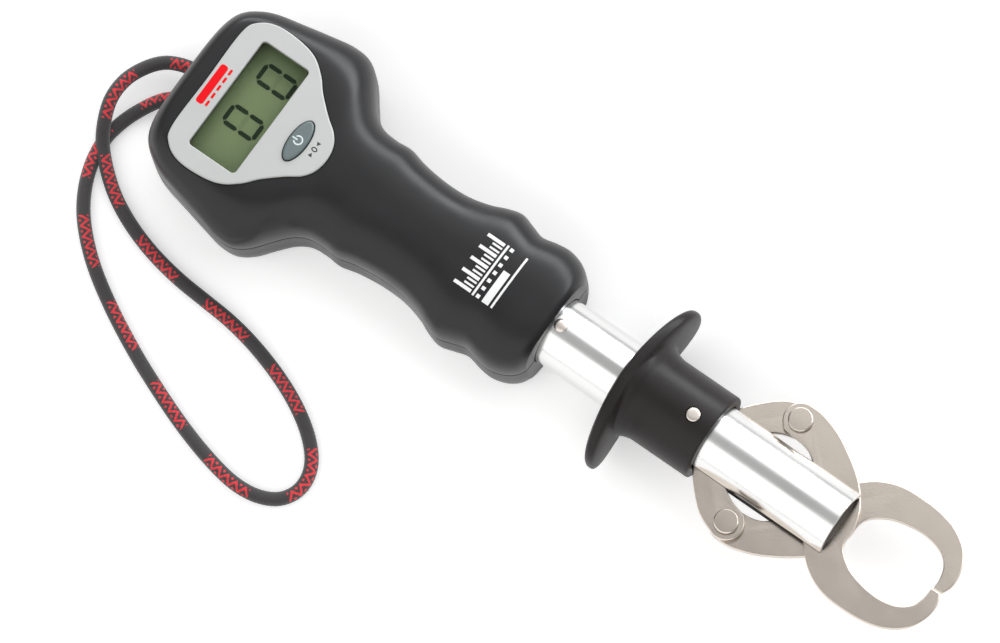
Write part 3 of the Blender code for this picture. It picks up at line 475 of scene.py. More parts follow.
# The display reflector's finish, with a painted shadow towards its rear edge.
OLIVE = ShadowedReflector(
    "lcd_glass", (0.118, 0.160, 0.074), 0.36, Grain.CLEAR, drift=0.06, bump=0.001, specular=0.2
)
SEGMENT = Finish(
    "lcd_glass",
    (0.006, 0.014, 0.004),
    0.6,
    Grain.CLEAR,
    bump=0.001,
    specular=0.1,
    label="lcd_segment",
)
SEGMENT_OFF = Finish(
    "lcd_glass",
    (0.109, 0.149, 0.069),
    0.4,
    Grain.CLEAR,
    bump=0.001,
    specular=0.2,
    label="lcd_segment_off",
)
ELASTOMER = Finish("elastomer", (0.35, 0.20, 0.35), 0.60, Grain.MOULDED)
FIBREGLASS = Finish("fibreglass", (0.03, 0.16, 0.07), 0.45, Grain.LINISHED, coat=0.3)
SWITCH_BLACK = Finish("switch_plastic", (0.03, 0.03, 0.03), 0.45, Grain.MOULDED)
# Polished tube finish, with painted shade within the bore.
POLISHED = ShadedBore(
    "polished_aluminium",
    (0.755, 0.757, 0.75),
    0.22,
    Grain.DRAWN,
    metallic=1.0,
    drift=0.015,
    gloss_drift=0.03,
    bump=0.006,
)
MILLED = Finish("milled_aluminium", (0.72, 0.72, 0.73), 0.34, Grain.LINISHED, metallic=1.0)
SATIN_STEEL = Finish(
    "satin_steel",
    (0.575, 0.516, 0.458),
    0.21,
    Grain.TUMBLED,
    metallic=1.0,
    drift=0.025,
    gloss_drift=0.025,
    drift_scale=120.0,
    wear=0.4,
)
BRIGHT_STEEL = Finish(
    "bright_steel",
    (0.62, 0.57, 0.525),
    0.38,
    Grain.TURNED,
    metallic=1.0,
    drift_scale=300.0,
    wear=0.3,
)
SPRING_STEEL = Finish("spring_steel", (0.45, 0.45, 0.46), 0.30, Grain.TUMBLED, metallic=1.0)
BATTERY_WRAP = Finish(
    "battery_wrap", (0.10, 0.10, 0.12), 0.35, Grain.MOULDED, metallic=0.3, coat=0.5
)
NICKEL = Finish("nickel_plate", (0.70, 0.67, 0.60), 0.28, Grain.LINISHED, metallic=1.0)
BRAID = DyedCord(
    "woven_cord", (0.02, 0.018, 0.019), 0.82, Grain.FIBRE, bump=0.05, gloss_drift=0.05
)
BRASS = Finish("brass", (0.70, 0.52, 0.25), 0.30, Grain.TURNED, metallic=1.0)
WHITE_INK = Finish(
    "silver_plastic",
    (0.62, 0.62, 0.62),
    0.5,
    Grain.MOULDED,
    drift=0.06,
    bump=0.01,
    label="white_ink",
)
RED_INK = Finish(
    "silver_plastic",
    (0.60, 0.004, 0.008),
    0.55,
    Grain.MOULDED,
    drift=0.06,
    specular=0.1,
    label="red_ink",
)
DARK_INK = Finish(
    "silver_plastic", (0.02, 0.02, 0.022), 0.5, Grain.MOULDED, drift=0.06, label="dark_ink"
)
PALE_INK = Finish(
    "button_plastic", (0.50, 0.56, 0.57), 0.45, Grain.MOULDED, drift=0.05, label="pale_ink"
)
PAPER = Finish(
    "studio_paper",
    (0.90, 0.90, 0.905),
    0.85,
    Grain.MOULDED,
    drift=0.005,
    bump=0.0,
    emission=0.34,
)
CAD_FINISHES = {
    "button_switch": SWITCH_BLACK,
    "zebra_connector": ELASTOMER,
    "circuit_board": FIBREGLASS,
    "battery_1": BATTERY_WRAP,
    "battery_2": BATTERY_WRAP,
    "battery_contact_left": NICKEL,
    "battery_contact_right": NICKEL,
    "load_cell": MILLED,
    "load_cell_screw_1": BRIGHT_STEEL,
    "load_cell_screw_2": BRIGHT_STEEL,
    "anchor_pin": BRIGHT_STEEL,
    "tube_anchor": MILLED,
    "carrier_upper": CARRIER_GREY,
    "carrier_lower": CARRIER_GREY,
    "jaw_pivot_pin": BRIGHT_STEEL,
    "link_pivot_pin": BRIGHT_STEEL,
    "lanyard_ferrule": BRASS,
}


# ---------------------------------------------------------------- places
@dataclass(frozen=True)
class Layout:
    """The two places that every sub-assembly is set out from."""

    tube_front: float
    axis_z: float

    @classmethod
    def measure(cls) -> Layout:
        """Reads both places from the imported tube.

        Returns:
            The layout.
        """
        low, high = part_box("main_tube")
        return cls(high.x, (low.z + high.z) / 2)

    def at(self, back: float, y: float = 0.0, up: float = 0.0) -> Vector:
        """Gives a point from X past the tube's front end, Y, and height over the axis."""
        return Vector((self.tube_front + back, y, self.axis_z + up))


def middle_x(node: str) -> float:
    """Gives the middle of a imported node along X."""
    low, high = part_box(node)
    return (low.x + high.x) / 2


# ---------------------------------------------------------------- shaping
class Work(Enum):
    """What one form does to another."""

    CUT = "DIFFERENCE"
    JOIN = "UNION"


def smooth_line(
    points: Sequence[Sequence[float]], steps: int, closed: bool = False
) -> list[Vector]:
    """Draws a smooth line through points of any dimension.

    Args:
        points: The points that the line goes through.
        steps: Steps between two of them.
        closed: Whether the last point goes on to the first.

    Returns:
        The line's points.
    """
    if closed:
        ends = [points[-1], *points, points[0], points[1]]
    else:
        ends = [points[0], *points, points[-1]]
    line = []
    for number in range(1, len(ends) - 2):
        before, first, second, after = (Vector(point) for point in ends[number - 1 : number + 3])
        slope_in, slope_out = (second - before) / 2, (after - first) / 2
        for step in range(steps):
            t = step / steps
            line.append(
                first * (2 * t**3 - 3 * t**2 + 1)
                + slope_in * (t**3 - 2 * t**2 + t)
                + second * (3 * t**2 - 2 * t**3)
                + slope_out * (t**3 - t**2)
            )
    return line if closed else [*line, Vector(points[-1])]


def round_corners(points: Sequence[Point2], radius: float, steps: int = 4) -> list[Point2]:
    """Rounds every inner corner of an open line.

    Args:
        points: The line's points.
        radius: How far from a corner its round starts, where there is room.
        steps: Steps of a round.

    Returns:
        The rounded line.
    """
    line = [tuple(points[0])]
    for before, corner, after in zip(points, points[1:], points[2:]):
        here = Vector(corner)
        to_before, to_after = Vector(before) - here, Vector(after) - here
        start = here + to_before.normalized() * min(radius, to_before.length / 2)
        end = here + to_after.normalized() * min(radius, to_after.length / 2)
        for step in range(steps + 1):
            t = step / steps
            line.append(tuple(start * (1 - t) ** 2 + here * 2 * t * (1 - t) + end * t**2))
    return [*line, tuple(points[-1])]


def rounded_box(low: Point2, high: Point2, radius: float, steps: int = 5) -> list[Point2]:
    """Gives the outline of a rectangle with round corners.

    Args:
        low: The lowest X and Y.
        high: The highest X and Y.
        radius: Radius of the corners.
        steps: Steps of a corner.

    Returns:
        The outline, anticlockwise.
    """
    outline = []
    centres = ((1, 1), (-1, 1), (-1, -1), (1, -1))
    for number, (side_x, side_y) in enumerate(centres):
        x = (high[0] if side_x > 0 else low[0]) - side_x * radius
        y = (high[1] if side_y > 0 else low[1]) - side_y * radius
        for step in range(steps + 1):
            angle = math.pi / 2 * (number + step / steps)
            outline.append((x + radius * math.cos(angle), y + radius * math.sin(angle)))
    return outline


def oval(centre: Point2, size: Point2, steps: int = 72) -> list[Point2]:
    """Gives the outline of an ellipse.

    Args:
        centre: Its middle.
        size: Its size along X and Y.
        steps: Points on it.

    Returns:
        The outline, anticlockwise.
    """
    half_x, half_y = size[0] / 2, size[1] / 2
    angles = [FULL_TURN * step / steps for step in range(steps)]
    return [(centre[0] + half_x * math.cos(a), centre[1] + half_y * math.sin(a)) for a in angles]


def arc(centre: Point2, radius: float, start: float, end: float, steps: int) -> list[Point2]:
    """Gives points on an arc.

    Args:
        centre: Its middle.
        radius: Its radius.
        start: Where it starts, in degrees.
        end: Where it ends, in degrees.
        steps: Number of points.

    Returns:
        The points.
    """
    angles = [math.radians(start + (end - start) * step / (steps - 1)) for step in range(steps)]
    return [(centre[0] + radius * math.cos(a), centre[1] + radius * math.sin(a)) for a in angles]


def wrapped(rows: int, columns: int, shape: Shape, capped: bool = True) -> bmesh.types.BMesh:
    """Wraps a grid into a closed tube-like form, with its UV kept.

    Args:
        rows: Steps along the form.
        columns: Steps around it.
        shape: Gives the point at a share of the way along and around.
        capped: Whether both ends are closed.

    Returns:
        The form.
    """
    bm = bmesh.new()
    bm.loops.layers.uv.new("UVMap")
    bmesh.ops.create_grid(bm, x_segments=rows, y_segments=columns, size=1.0, calc_uvs=True)
    for vert in bm.verts:
        vert.co = shape((vert.co.x + 1) / 2, (vert.co.y + 1) / 2)
    bmesh.ops.remove_doubles(bm, verts=bm.verts, dist=WELD)
    if capped:
        rims = [edge for edge in bm.edges if edge.is_boundary]
        bmesh.ops.holes_fill(bm, edges=rims, sides=0)
    bmesh.ops.recalc_face_normals(bm, faces=bm.faces)
    return bm


def turned(
    profile: Sequence[Point2], origin: Vector, axis: Sequence[float], steps: int = 48
) -> bmesh.types.BMesh:
    """Turns a profile round an axis, as on a lathe.

    Args:
        profile: Radius and height of each point.
        origin: Where height 0 is.
        axis: Which way the height goes.
        steps: Steps round.

    Returns:
        The turned form.
    """
    bm = bmesh.new()
    verts = [bm.verts.new((radius, 0.0, height)) for radius, height in profile]
    edges = [bm.edges.new(pair) for pair in zip(verts, verts[1:])]
    bmesh.ops.spin(
        bm,
        geom=verts + edges,
        cent=(0, 0, 0),
        axis=(0, 0, 1),
        dvec=(0, 0, 0),
        angle=FULL_TURN,
        steps=steps,
        use_merge=True,
        use_duplicate=False,
    )
    bmesh.ops.remove_doubles(bm, verts=bm.verts, dist=WELD)
    turn = Vector(axis).to_track_quat("Z", "Y").to_matrix().to_4x4()
    bmesh.ops.transform(bm, matrix=Matrix.Translation(origin) @ turn, verts=bm.verts)
    bmesh.ops.recalc_face_normals(bm, faces=bm.faces)
    return bm


def drum(
    radius: float, start: Vector, end: Vector, edge: float = 0.0, steps: int = 48
) -> bmesh.types.BMesh:
    """Makes a round bar between two points.

    Args:
        radius: Its radius.
        start: Middle of one end.
        end: Middle of the other.
        edge: Round of its rims.
        steps: Steps round.

    Returns:
        The bar.
    """
    length = (end - start).length
    profile = [(0.0, 0.0), (radius, 0.0), (radius, length), (0.0, length)]
    if edge:
        profile = round_corners(profile, edge)
    return turned(profile, start, end - start, steps)


def plate(
    outline: Sequence[Point2], low: float, high: float, edge: float = 0.0, segments: int = 3
) -> bmesh.types.BMesh:
    """Makes a flat plate from its outline.

    Args:
        outline: X and Y of its points.
        low: Height of its underside.
        high: Height of its top.
        edge: Round of its rims.
        segments: Steps of that round.

    Returns:
        The plate.
    """
    bm = bmesh.new()
    face = bm.faces.new([bm.verts.new((x, y, low)) for x, y in outline])
    raised = bmesh.ops.extrude_face_region(bm, geom=[face], use_keep_orig=True)["geom"]
    top = [item for item in raised if isinstance(item, bmesh.types.BMVert)]
    bmesh.ops.translate(bm, vec=(0, 0, high - low), verts=top)
    bmesh.ops.recalc_face_normals(bm, faces=bm.faces)
    if edge:
        rims = [e for e in bm.edges if abs(e.verts[0].co.z - e.verts[1].co.z) < WELD]
        bmesh.ops.bevel(
            bm, geom=rims, offset=edge, segments=segments, profile=0.5, affect="EDGES", material=-1
        )
    return bm


def box_plate(
    low: Point2, high: Point2, corner: float, floor: float, top: float
) -> bmesh.types.BMesh:
    """Makes a flat plate with round corners and plain rims.

    Args:
        low: The lowest X and Y.
        high: The highest X and Y.
        corner: Radius of its corners.
        floor: Height of its underside.
        top: Height of its top.

    Returns:
        The plate.
    """
    return plate(rounded_box(low, high, corner), floor, top)


def shaft(
    radius: float, x: float, y: float, floor: float, top: float, steps: int = 48
) -> bmesh.types.BMesh:
    """Makes an upright round bar.

    Args:
        radius: Its radius.
        x: X of its axis.
        y: Y of its axis.
        floor: Height of its lower end.
        top: Height of its upper end.
        steps: Steps round.

    Returns:
        The bar.
    """
    return drum(radius, Vector((x, y, floor)), Vector((x, y, top)), steps=steps)


def place_of(vert: bmesh.types.BMVert) -> tuple[float, ...]:
    """Gives a vertex's place, rounded so that two forms' places can be compared."""
    return tuple(round(value, PLACE_DIGITS) for value in vert.co)


def merged(forms: Sequence[bmesh.types.BMesh]) -> bmesh.types.BMesh:
    """Puts several forms into one, side by side.

    Args:
        forms: The forms, which are used up.

    Returns:
        All of them.
    """
    whole = forms[0]
    for form in forms[1:]:
        mesh = bpy.data.meshes.new("part")
        form.to_mesh(mesh)
        form.free()
        whole.from_mesh(mesh)
        bpy.data.meshes.remove(mesh)
    return whole


def held(form: bmesh.types.BMesh, name: str = "held") -> bpy.types.Object:
    """Puts a form into a passing object.

    Args:
        form: The form, which is used up.
        name: The object's name.

    Returns:
        The object.
    """
    mesh = bpy.data.meshes.new(name)
    form.to_mesh(mesh)
    form.free()
    made = bpy.data.objects.new(name, mesh)
    bpy.context.scene.collection.objects.link(made)
    return made


def settled(made: bpy.types.Object) -> bmesh.types.BMesh:
    """Takes a passing object's form with its modifiers, and removes the object.

    Args:
        made: The object.

    Returns:
        Its form.
    """
    bpy.context.view_layer.update()
    graph = bpy.context.evaluated_depsgraph_get()
    mesh = bpy.data.meshes.new_from_object(made.evaluated_get(graph))
    form = bmesh.new()
    form.from_mesh(mesh)
    old = made.data
    bpy.data.objects.remove(made, do_unlink=True)
    bpy.data.meshes.remove(old)
    bpy.data.meshes.remove(mesh)
    return form


def combined(
    form: bmesh.types.BMesh, others: Sequence[bmesh.types.BMesh], work: Work = Work.CUT
) -> bmesh.types.BMesh:
    """Cuts forms out of another, or joins them to it.

    Args:
        form: What is worked on, which is used up.
        others: The other forms, which are used up.
        work: Whether they are cut out or joined.

    Returns:
        The result.
    """
    body = held(form, "body")
    helpers = [held(other, "helper") for other in others]
    for helper in helpers:
        boolean = body.modifiers.new("work", "BOOLEAN")
        boolean.operation = work.value
        boolean.solver = "EXACT"
        boolean.object = helper
    result = settled(body)
    for helper in helpers:
        mesh = helper.data
        bpy.data.objects.remove(helper, do_unlink=True)
        bpy.data.meshes.remove(mesh)
    bmesh.ops.remove_doubles(result, verts=result.verts, dist=CUT_WELD)
    return result


def piece(
    name: str,
    form: bmesh.types.BMesh,
    finish: Finish,
    body: str,
    replaces: Sequence[str] = (),
    sharp: float = 35.0,
    flats: bool = True,
) -> bpy.types.Object:
    """Makes a finished piece that rides on a body.

    Args:
        name: The piece's name.
        form: Its form, which is used up.
        finish: Its finish.
        body: The body that it moves with.
        replaces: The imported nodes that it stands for.
        sharp: Angle in degrees past which an edge is shaded sharp.
        flats: Whether its flat faces stay flat where they meet a round edge.

    Returns:
        The piece.
    """
    made = held(form, name)
    made.data.shade_smooth()
    made.data.set_sharp_from_angle(angle=math.radians(sharp))
    made.data.materials.append(finish.material())
    if flats:
        normals = made.modifiers.new("flats", "WEIGHTED_NORMAL")
        normals.keep_sharp = True
    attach(made, body)
    if replaces:
        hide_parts(*replaces)
    LOG.info("%s: %d faces, moves with %s", name, len(made.data.polygons), body)
    return made


# ---------------------------------------------------------------- housing
STATIONS = (
    (-0.2405, 0.0170, 0.0095, 0.0100, 3.0),
    (-0.2400, 0.0205, 0.0130, 0.0135, 3.4),
    (-0.2380, 0.0242, 0.0162, 0.0170, 3.9),
    (-0.2345, 0.0272, 0.0186, 0.0192, 3.9),
    (-0.2290, 0.0300, 0.0194, 0.0200, 3.8),
    (-0.2200, 0.0322, 0.0196, 0.0200, 3.6),
    (-0.2110, 0.0343, 0.0195, 0.0200, 3.3),
    (-0.2045, 0.0356, 0.0192, 0.0200, 3.0),
    (-0.1990, 0.0352, 0.0188, 0.0200, 2.8),
    (-0.1945, 0.0322, 0.0184, 0.0198, 2.7),
    (-0.1905, 0.0272, 0.0180, 0.0196, 2.6),
    (-0.1865, 0.0226, 0.0177, 0.0194, 2.6),
    (-0.1820, 0.0199, 0.0172, 0.0193, 2.8),
    (-0.1765, 0.0194, 0.0168, 0.0193, 2.8),
    (-0.1715, 0.0197, 0.0165, 0.0193, 2.8),
    (-0.1655, 0.0183, 0.0161, 0.0192, 2.8),
    (-0.1570, 0.0174, 0.0158, 0.0191, 2.8),
    (-0.1490, 0.0177, 0.0158, 0.0191, 2.8),
    (-0.1420, 0.0194, 0.0161, 0.0192, 2.8),
    (-0.1370, 0.0215, 0.0165, 0.0193, 2.8),
    (-0.1325, 0.0226, 0.0167, 0.0193, 2.8),
    (-0.1280, 0.0214, 0.0167, 0.0193, 2.8),
    (-0.1235, 0.0202, 0.0166, 0.0192, 2.8),
    (-0.1185, 0.0212, 0.0167, 0.0192, 2.8),
    (-0.1140, 0.0216, 0.0167, 0.0191, 2.8),
    (-0.1095, 0.0204, 0.0164, 0.0187, 2.8),
    (-0.1062, 0.0181, 0.0155, 0.0177, 2.8),
    (-0.1044, 0.0152, 0.0136, 0.0160, 2.8),
)


@dataclass
class Housing:
    """The two handle shells, and the openings in them.

    The stations give X behind the tube's front end, half-width, height over the axis and depth
    under it, and how square the upper corners are.
    """

    layout: Layout
    stations: tuple[tuple[float, ...], ...] = STATIONS
    lower_squareness: float = 4.6
    wall: float = 2.6 * MM
    head_top: float = 17.0 * MM
    shoulder: float = 0.45 * MM
    eased_from: float = 0.02
    parting: float = 0.15 * MM
    parting_round: float = 0.35 * MM
    columns: int = 96
    steps: int = 5
    screw_places: tuple[Point2, ...] = (
        (-0.2325, 0.0200),
        (-0.2325, -0.0200),
        (-0.1140, 0.0148),
        (-0.1140, -0.0148),
    )
    screw_recess: float = 3.0 * MM
    screw_depth: float = 6.0 * MM
    cord_holes: tuple[float, float] = (0.0050, -0.0055)
    cord_hole: float = 2.7 * MM
    cord_hole_ends: tuple[float, float] = (-0.2445, -0.2345)
    cord_drop: float = 10.5 * MM
    mouth_ends: tuple[float, float] = (-0.125, -0.095)
    cutter_top: float = 0.03
    window_corner: float = 1.6 * MM
    window_floor: float = 10 * MM
    button_floor: float = 2 * MM
    door_gap: float = 0.3 * MM
    door_corner: float = 1.4 * MM
    door_roof: float = 8.8 * MM
    tab_half: float = 6.5 * MM
    tab_corner: float = 1.2 * MM
    tab_gap: float = 0.5 * MM
    tab_overlap: float = 2 * MM
    tab_roof: float = 1.6 * MM
    upper: bpy.types.Object | None = field(default=None, init=False)

    def eased(self, height: float, limit: float) -> float:
        """Keeps a height under a limit, with a soft bend where the two meet."""
        return limit - self.shoulder * math.log1p(math.exp((limit - height) / self.shoulder))

    def outside(self) -> bmesh.types.BMesh:
        """Lofts the outer surface of both shells as one closed form.

        Returns:
            The form.
        """
        line = smooth_line(self.stations, self.steps)
        rows = len(line) - 1

        def shape(along: float, around: float) -> Vector:
            """Gives a point of the surface.

            Args:
                along: Share of the way to the front.
                around: Share of a turn.

            Returns:
                The point.
            """
            back, width, top, depth, square = line[round(along * rows)]
            angle = FULL_TURN * around
            power = 2 / (square if angle <= math.pi else self.lower_squareness)
            across, up = math.cos(angle), math.sin(angle)
            y = width * math.copysign(abs(across) ** power, across)
            if up >= 0:
                z = self.eased(top * up**power, self.head_top)
                z = max(z, 0.0) if up > self.eased_from else top * up**power
            else:
                z = -self.eased(depth * (-up) ** power, self.layout.axis_z)
            return self.layout.at(back, y, z)

        return wrapped(rows, self.columns, shape)

    def half(self, side: int) -> bmesh.types.BMesh:
        """Makes one hollow shell.

        Args:
            side: 1 for the upper one and -1 for the lower.

        Returns:
            The shell's form.
        """
        form = self.outside()
        height = self.layout.axis_z + side * self.parting
        everything = [*form.verts, *form.edges, *form.faces]
        bmesh.ops.bisect_plane(
            form, geom=everything, plane_co=(0, 0, height), plane_no=(0, 0, side), clear_inner=True
        )
        bmesh.ops.recalc_face_normals(form, faces=form.faces)
        rim = {place_of(vert) for vert in form.verts if abs(vert.co.z - height) < LEVEL}
        inner = form.copy()
        for vert in inner.verts:
            inward = vert.normal * -self.wall
            if abs(vert.co.z - height) < LEVEL:
                inward.z = 0.0
            vert.co += inward
        bmesh.ops.reverse_faces(inner, faces=inner.faces)
        shell = merged([form, inner])
        open_edges = [edge for edge in shell.edges if edge.is_boundary]
        bmesh.ops.bridge_loops(shell, edges=open_edges)
        edges = [edge for edge in shell.edges if all(place_of(vert) in rim for vert in edge.verts)]
        bmesh.ops.bevel(
            shell,
            geom=edges,
            offset=self.parting_round,
            segments=2,
            profile=0.5,
            affect="EDGES",
            material=-1,
        )
        return shell

    def tube_mouth(self) -> bmesh.types.BMesh:
        """Makes the cutter of the round mouth that the tube comes out of.

        Returns:
            The cutter.
        """
        low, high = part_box("main_tube")
        radius = (high.z - low.z) / 2 + GAP
        rear, front = self.mouth_ends
        return drum(radius, self.layout.at(rear), self.layout.at(front), steps=64)

    def build_upper(
        self, trim: list[Point2], window: tuple[Point2, Point2], button: list[Point2]
    ) -> None:
        """Builds the upper shell.

        Args:
            trim: Outline of the recess for the trim plate.
            window: Low and high corner of the display's opening.
            button: Outline of the button's opening.
        """
        axis = self.layout.axis_z
        top = axis + self.cutter_top
        recess_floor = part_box("bezel_plate")[0].z - GAP
        button_floor = axis + self.head_top - self.wall - self.button_floor
        cuts = [
            self.tube_mouth(),
            plate(trim, recess_floor, top),
            box_plate(*window, self.window_corner, axis + self.window_floor, top),
            plate(button, button_floor, top),
        ]
        form = combined(self.half(1), cuts)
        self.upper = piece("upper_shell", form, CHARCOAL, "handle", ["handle_upper_shell"])

    def build_lower(self) -> None:
        """Builds the lower shell, open for the battery door, the screws and the cord."""
        low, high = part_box("battery_door")
        gap = self.door_gap
        panel_end = low.x + DOOR_PANEL
        cuts = [
            self.tube_mouth(),
            box_plate(
                (low.x - gap, low.y - gap),
                (panel_end + gap, high.y + gap),
                self.door_corner,
                UNDER,
                self.layout.axis_z - self.door_roof,
            ),
            box_plate(
                (panel_end - self.tab_overlap, -self.tab_half),
                (high.x + self.tab_gap, self.tab_half),
                self.tab_corner,
                UNDER,
                self.tab_roof,
            ),
        ]
        for back, y in self.screw_places:
            x = self.layout.tube_front + back
            cuts.append(shaft(self.screw_recess, x, y, UNDER, self.screw_depth, 32))
        for y in self.cord_holes:
            start, end = (self.layout.at(back, y, -self.cord_drop) for back in self.cord_hole_ends)
            cuts.append(drum(self.cord_hole, start, end, steps=32))
        form = combined(self.half(-1), cuts)
        piece("lower_shell", form, CHARCOAL, "handle", ["handle_lower_shell"])


# ---------------------------------------------------------------- display
@dataclass
class Display:
    """The trim plate, its window and the display's digits."""

    layout: Layout
    window_centre: float = -0.2168
    window_size: Point2 = (0.0172, 0.0388)
    window_corner: float = 1.3 * MM
    button_x: float = -0.1984
    button_size: Point2 = (0.0056, 0.0140)
    button_flange: float = 1.5 * MM
    outline_half: tuple[Point2, ...] = (
        (-0.2325, 0.0000),
        (-0.2325, 0.0175),
        (-0.2300, 0.0228),
        (-0.2246, 0.0254),
        (-0.2166, 0.0255),
        (-0.2100, 0.0240),
        (-0.2048, 0.0203),
        (-0.2010, 0.0161),
        (-0.1955, 0.0113),
        (-0.1912, 0.0081),
        (-0.1888, 0.0045),
        (-0.1880, 0.0000),
    )
    outline_middle: float = -0.2120
    rim: float = 0.5 * MM
    inner_rim: float = 0.3 * MM
    rim_level: float = 0.01 * MM
    rim_angle: float = 1.2
    pane_corner: float = 1.2 * MM
    pane_rim: float = 0.1 * MM
    glass_corner: float = 0.5 * MM
    glass_rim: float = 0.15 * MM
    # How far in from its rear edge the reflector carries the painted shadow of the window's rear
    # wall.
    shaded: float = 5 * MM
    digit_size: Point2 = (0.0122, 0.0074)
    digit_places: tuple[Point2, ...] = ((-0.2157, 0.0119), (-0.2165, -0.0040))
    stroke: float = 1.35 * MM
    stroke_gap: float = 0.22 * MM
    digit_heights: tuple[float, float] = (0.02 * MM, 0.10 * MM)
    unlit_heights: tuple[float, float] = (0.02 * MM, 0.06 * MM)
    tick_x: float = -0.2236
    tick_rows: tuple[float, ...] = (15.5 * MM, 0.3 * MM, -13.5 * MM)
    tick_step: float = 1.3 * MM
    tick_size: Point2 = (1.6 * MM, 0.3 * MM)
    tick_stroke: float = 0.32 * MM
    dot_place: Point2 = (-0.2092, 5.8 * MM)
    dot_size: float = 1.2 * MM

    def outline(self, grow: float = 0.0) -> list[Point2]:
        """Gives the trim plate's outline.

        Args:
            grow: How far it is grown from the middle.

        Returns:
            The outline.
        """
        mirrored = [(x, -y) for x, y in reversed(self.outline_half[1:-1])]
        line = smooth_line([*self.outline_half, *mirrored], 6, closed=True)
        middle = Vector((self.outline_middle, 0.0))
        grown = [point + (point - middle).normalized() * grow for point in line]
        return [(self.layout.tube_front + x, y) for x, y in grown]

    def window(self, grow: float = 0.0) -> tuple[Point2, Point2]:
        """Gives the window's low and high corners, grown all round."""
        x, (length, width) = self.layout.tube_front + self.window_centre, self.window_size
        return (x - length / 2 - grow, -width / 2 - grow), (x + length / 2 + grow, width / 2 + grow)

    def button_outline(self, grow: float) -> list[Point2]:
        """Gives the button's outline, grown all round."""
        size = tuple(side + 2 * grow for side in self.button_size)
        return oval((self.layout.tube_front + self.button_x, 0.0), size)

    def trim(self) -> None:
        """Builds the trim plate."""
        low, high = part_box("bezel_plate")
        cuts = [
            box_plate(*self.window(), self.window_corner, low.z - MM, high.z + MM),
            plate(self.button_outline(GAP), low.z - MM, high.z + MM),
        ]
        form = combined(plate(self.outline(), low.z, high.z, self.rim, 4), cuts)
        openings = [
            edge
            for edge in form.edges
            if all(abs(vert.co.z - high.z) < self.rim_level for vert in edge.verts)
            and len(edge.link_faces) == 2
            and edge.calc_face_angle(0.0) > self.rim_angle
        ]
        bmesh.ops.bevel(
            form,
            geom=openings,
            offset=self.inner_rim,
            segments=3,
            profile=0.5,
            affect="EDGES",
            material=-1,
        )
        piece("trim_plate", form, SILVER, "handle", ["bezel_plate"])

    def pane(self) -> None:
        """Builds the clear pane over the display."""
        low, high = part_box("lcd_window")
        outline = rounded_box((low.x, low.y), (high.x, high.y), self.pane_corner)
        form = plate(outline, low.z, high.z, self.pane_rim, 2)
        piece("window_pane", form, CLEAR, "handle", ["lcd_window"])

    def bar(self, start: Point2, end: Point2, width: float) -> list[Point2]:
        """Gives the outline of one display segment, with pointed ends.

        Args:
            start: One end.
            end: The other.
            width: Its width.

        Returns:
            The outline.
        """
        first, last = Vector(start), Vector(end)
        along = (last - first).normalized() * width / 2
        across = Vector((-along.y, along.x))
        return [
            tuple(point)
            for point in (
                first,
                first + along - across,
                last - along - across,
                last,
                last - along + across,
                first + along + across,
            )
        ]

    def digit(
        self, centre: Point2, height: float
    ) -> tuple[list[bmesh.types.BMesh], bmesh.types.BMesh]:
        """Builds a nought and the one segment that it leaves dark.

        Args:
            centre: X behind the tube's front end and Y of its middle.
            height: Height of the display's face.

        Returns:
            The lit segments and the unlit one.
        """
        x, y = self.layout.tube_front + centre[0], centre[1]
        tall, wide = (side - self.stroke for side in self.digit_size)
        ends = {}
        for row, end_x in enumerate((x - tall / 2, x, x + tall / 2)):
            for column, end_y in enumerate((y - wide / 2, y + wide / 2)):
                ends[row, column] = Vector((end_x, end_y))
        pairs = [((0, 0), (0, 1)), ((2, 0), (2, 1))]
        pairs += [((row, column), (row + 1, column)) for row in (0, 1) for column in (0, 1)]
        pairs.append(((1, 0), (1, 1)))
        low, high = (height + stand for stand in self.digit_heights)
        forms = []
        for first, last in pairs:
            step = (ends[last] - ends[first]).normalized() * self.stroke_gap
            outline = self.bar(ends[first] + step, ends[last] - step, self.stroke)
            forms.append(plate(outline, low, high))
        return forms[:-1], forms[-1]

    def reading(self) -> None:
        """Builds the digits and the faint unlit marks beside them."""
        low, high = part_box("lcd_module")
        outline = rounded_box((low.x, low.y), (high.x, high.y), self.glass_corner, 3)
        face = plate(outline, low.z, high.z, self.glass_rim, 2)
        # The reflector darkens towards its rear edge: a painted shadow of the window's rear wall.
        olive = replace(OLIVE, rear=low.x, front=low.x + self.shaded)
        piece("display_glass", face, olive, "handle", ["lcd_module"])
        lit, unlit = [], []
        for centre in self.digit_places:
            on, off = self.digit(centre, high.z)
            lit += on
            unlit.append(off)
        piece("display_digits", merged(lit), SEGMENT, "handle")
        x = self.layout.tube_front
        floor, top = (high.z + stand for stand in self.unlit_heights)
        for y in self.tick_rows:
            for step in (-1, 0, 1):
                start = (x + self.tick_x, y + step * self.tick_step)
                end = (start[0] + self.tick_size[0], start[1] + self.tick_size[1])
                unlit.append(plate(self.bar(start, end, self.tick_stroke), floor, top))
        dot = oval((x + self.dot_place[0], self.dot_place[1]), (self.dot_size, self.dot_size), 24)
        unlit.append(plate(dot, floor, top))
        piece("display_unlit_marks", merged(unlit), SEGMENT_OFF, "handle")

    def build(self) -> None:
        """Builds the whole display."""
        self.trim()
        self.pane()
        self.reading()


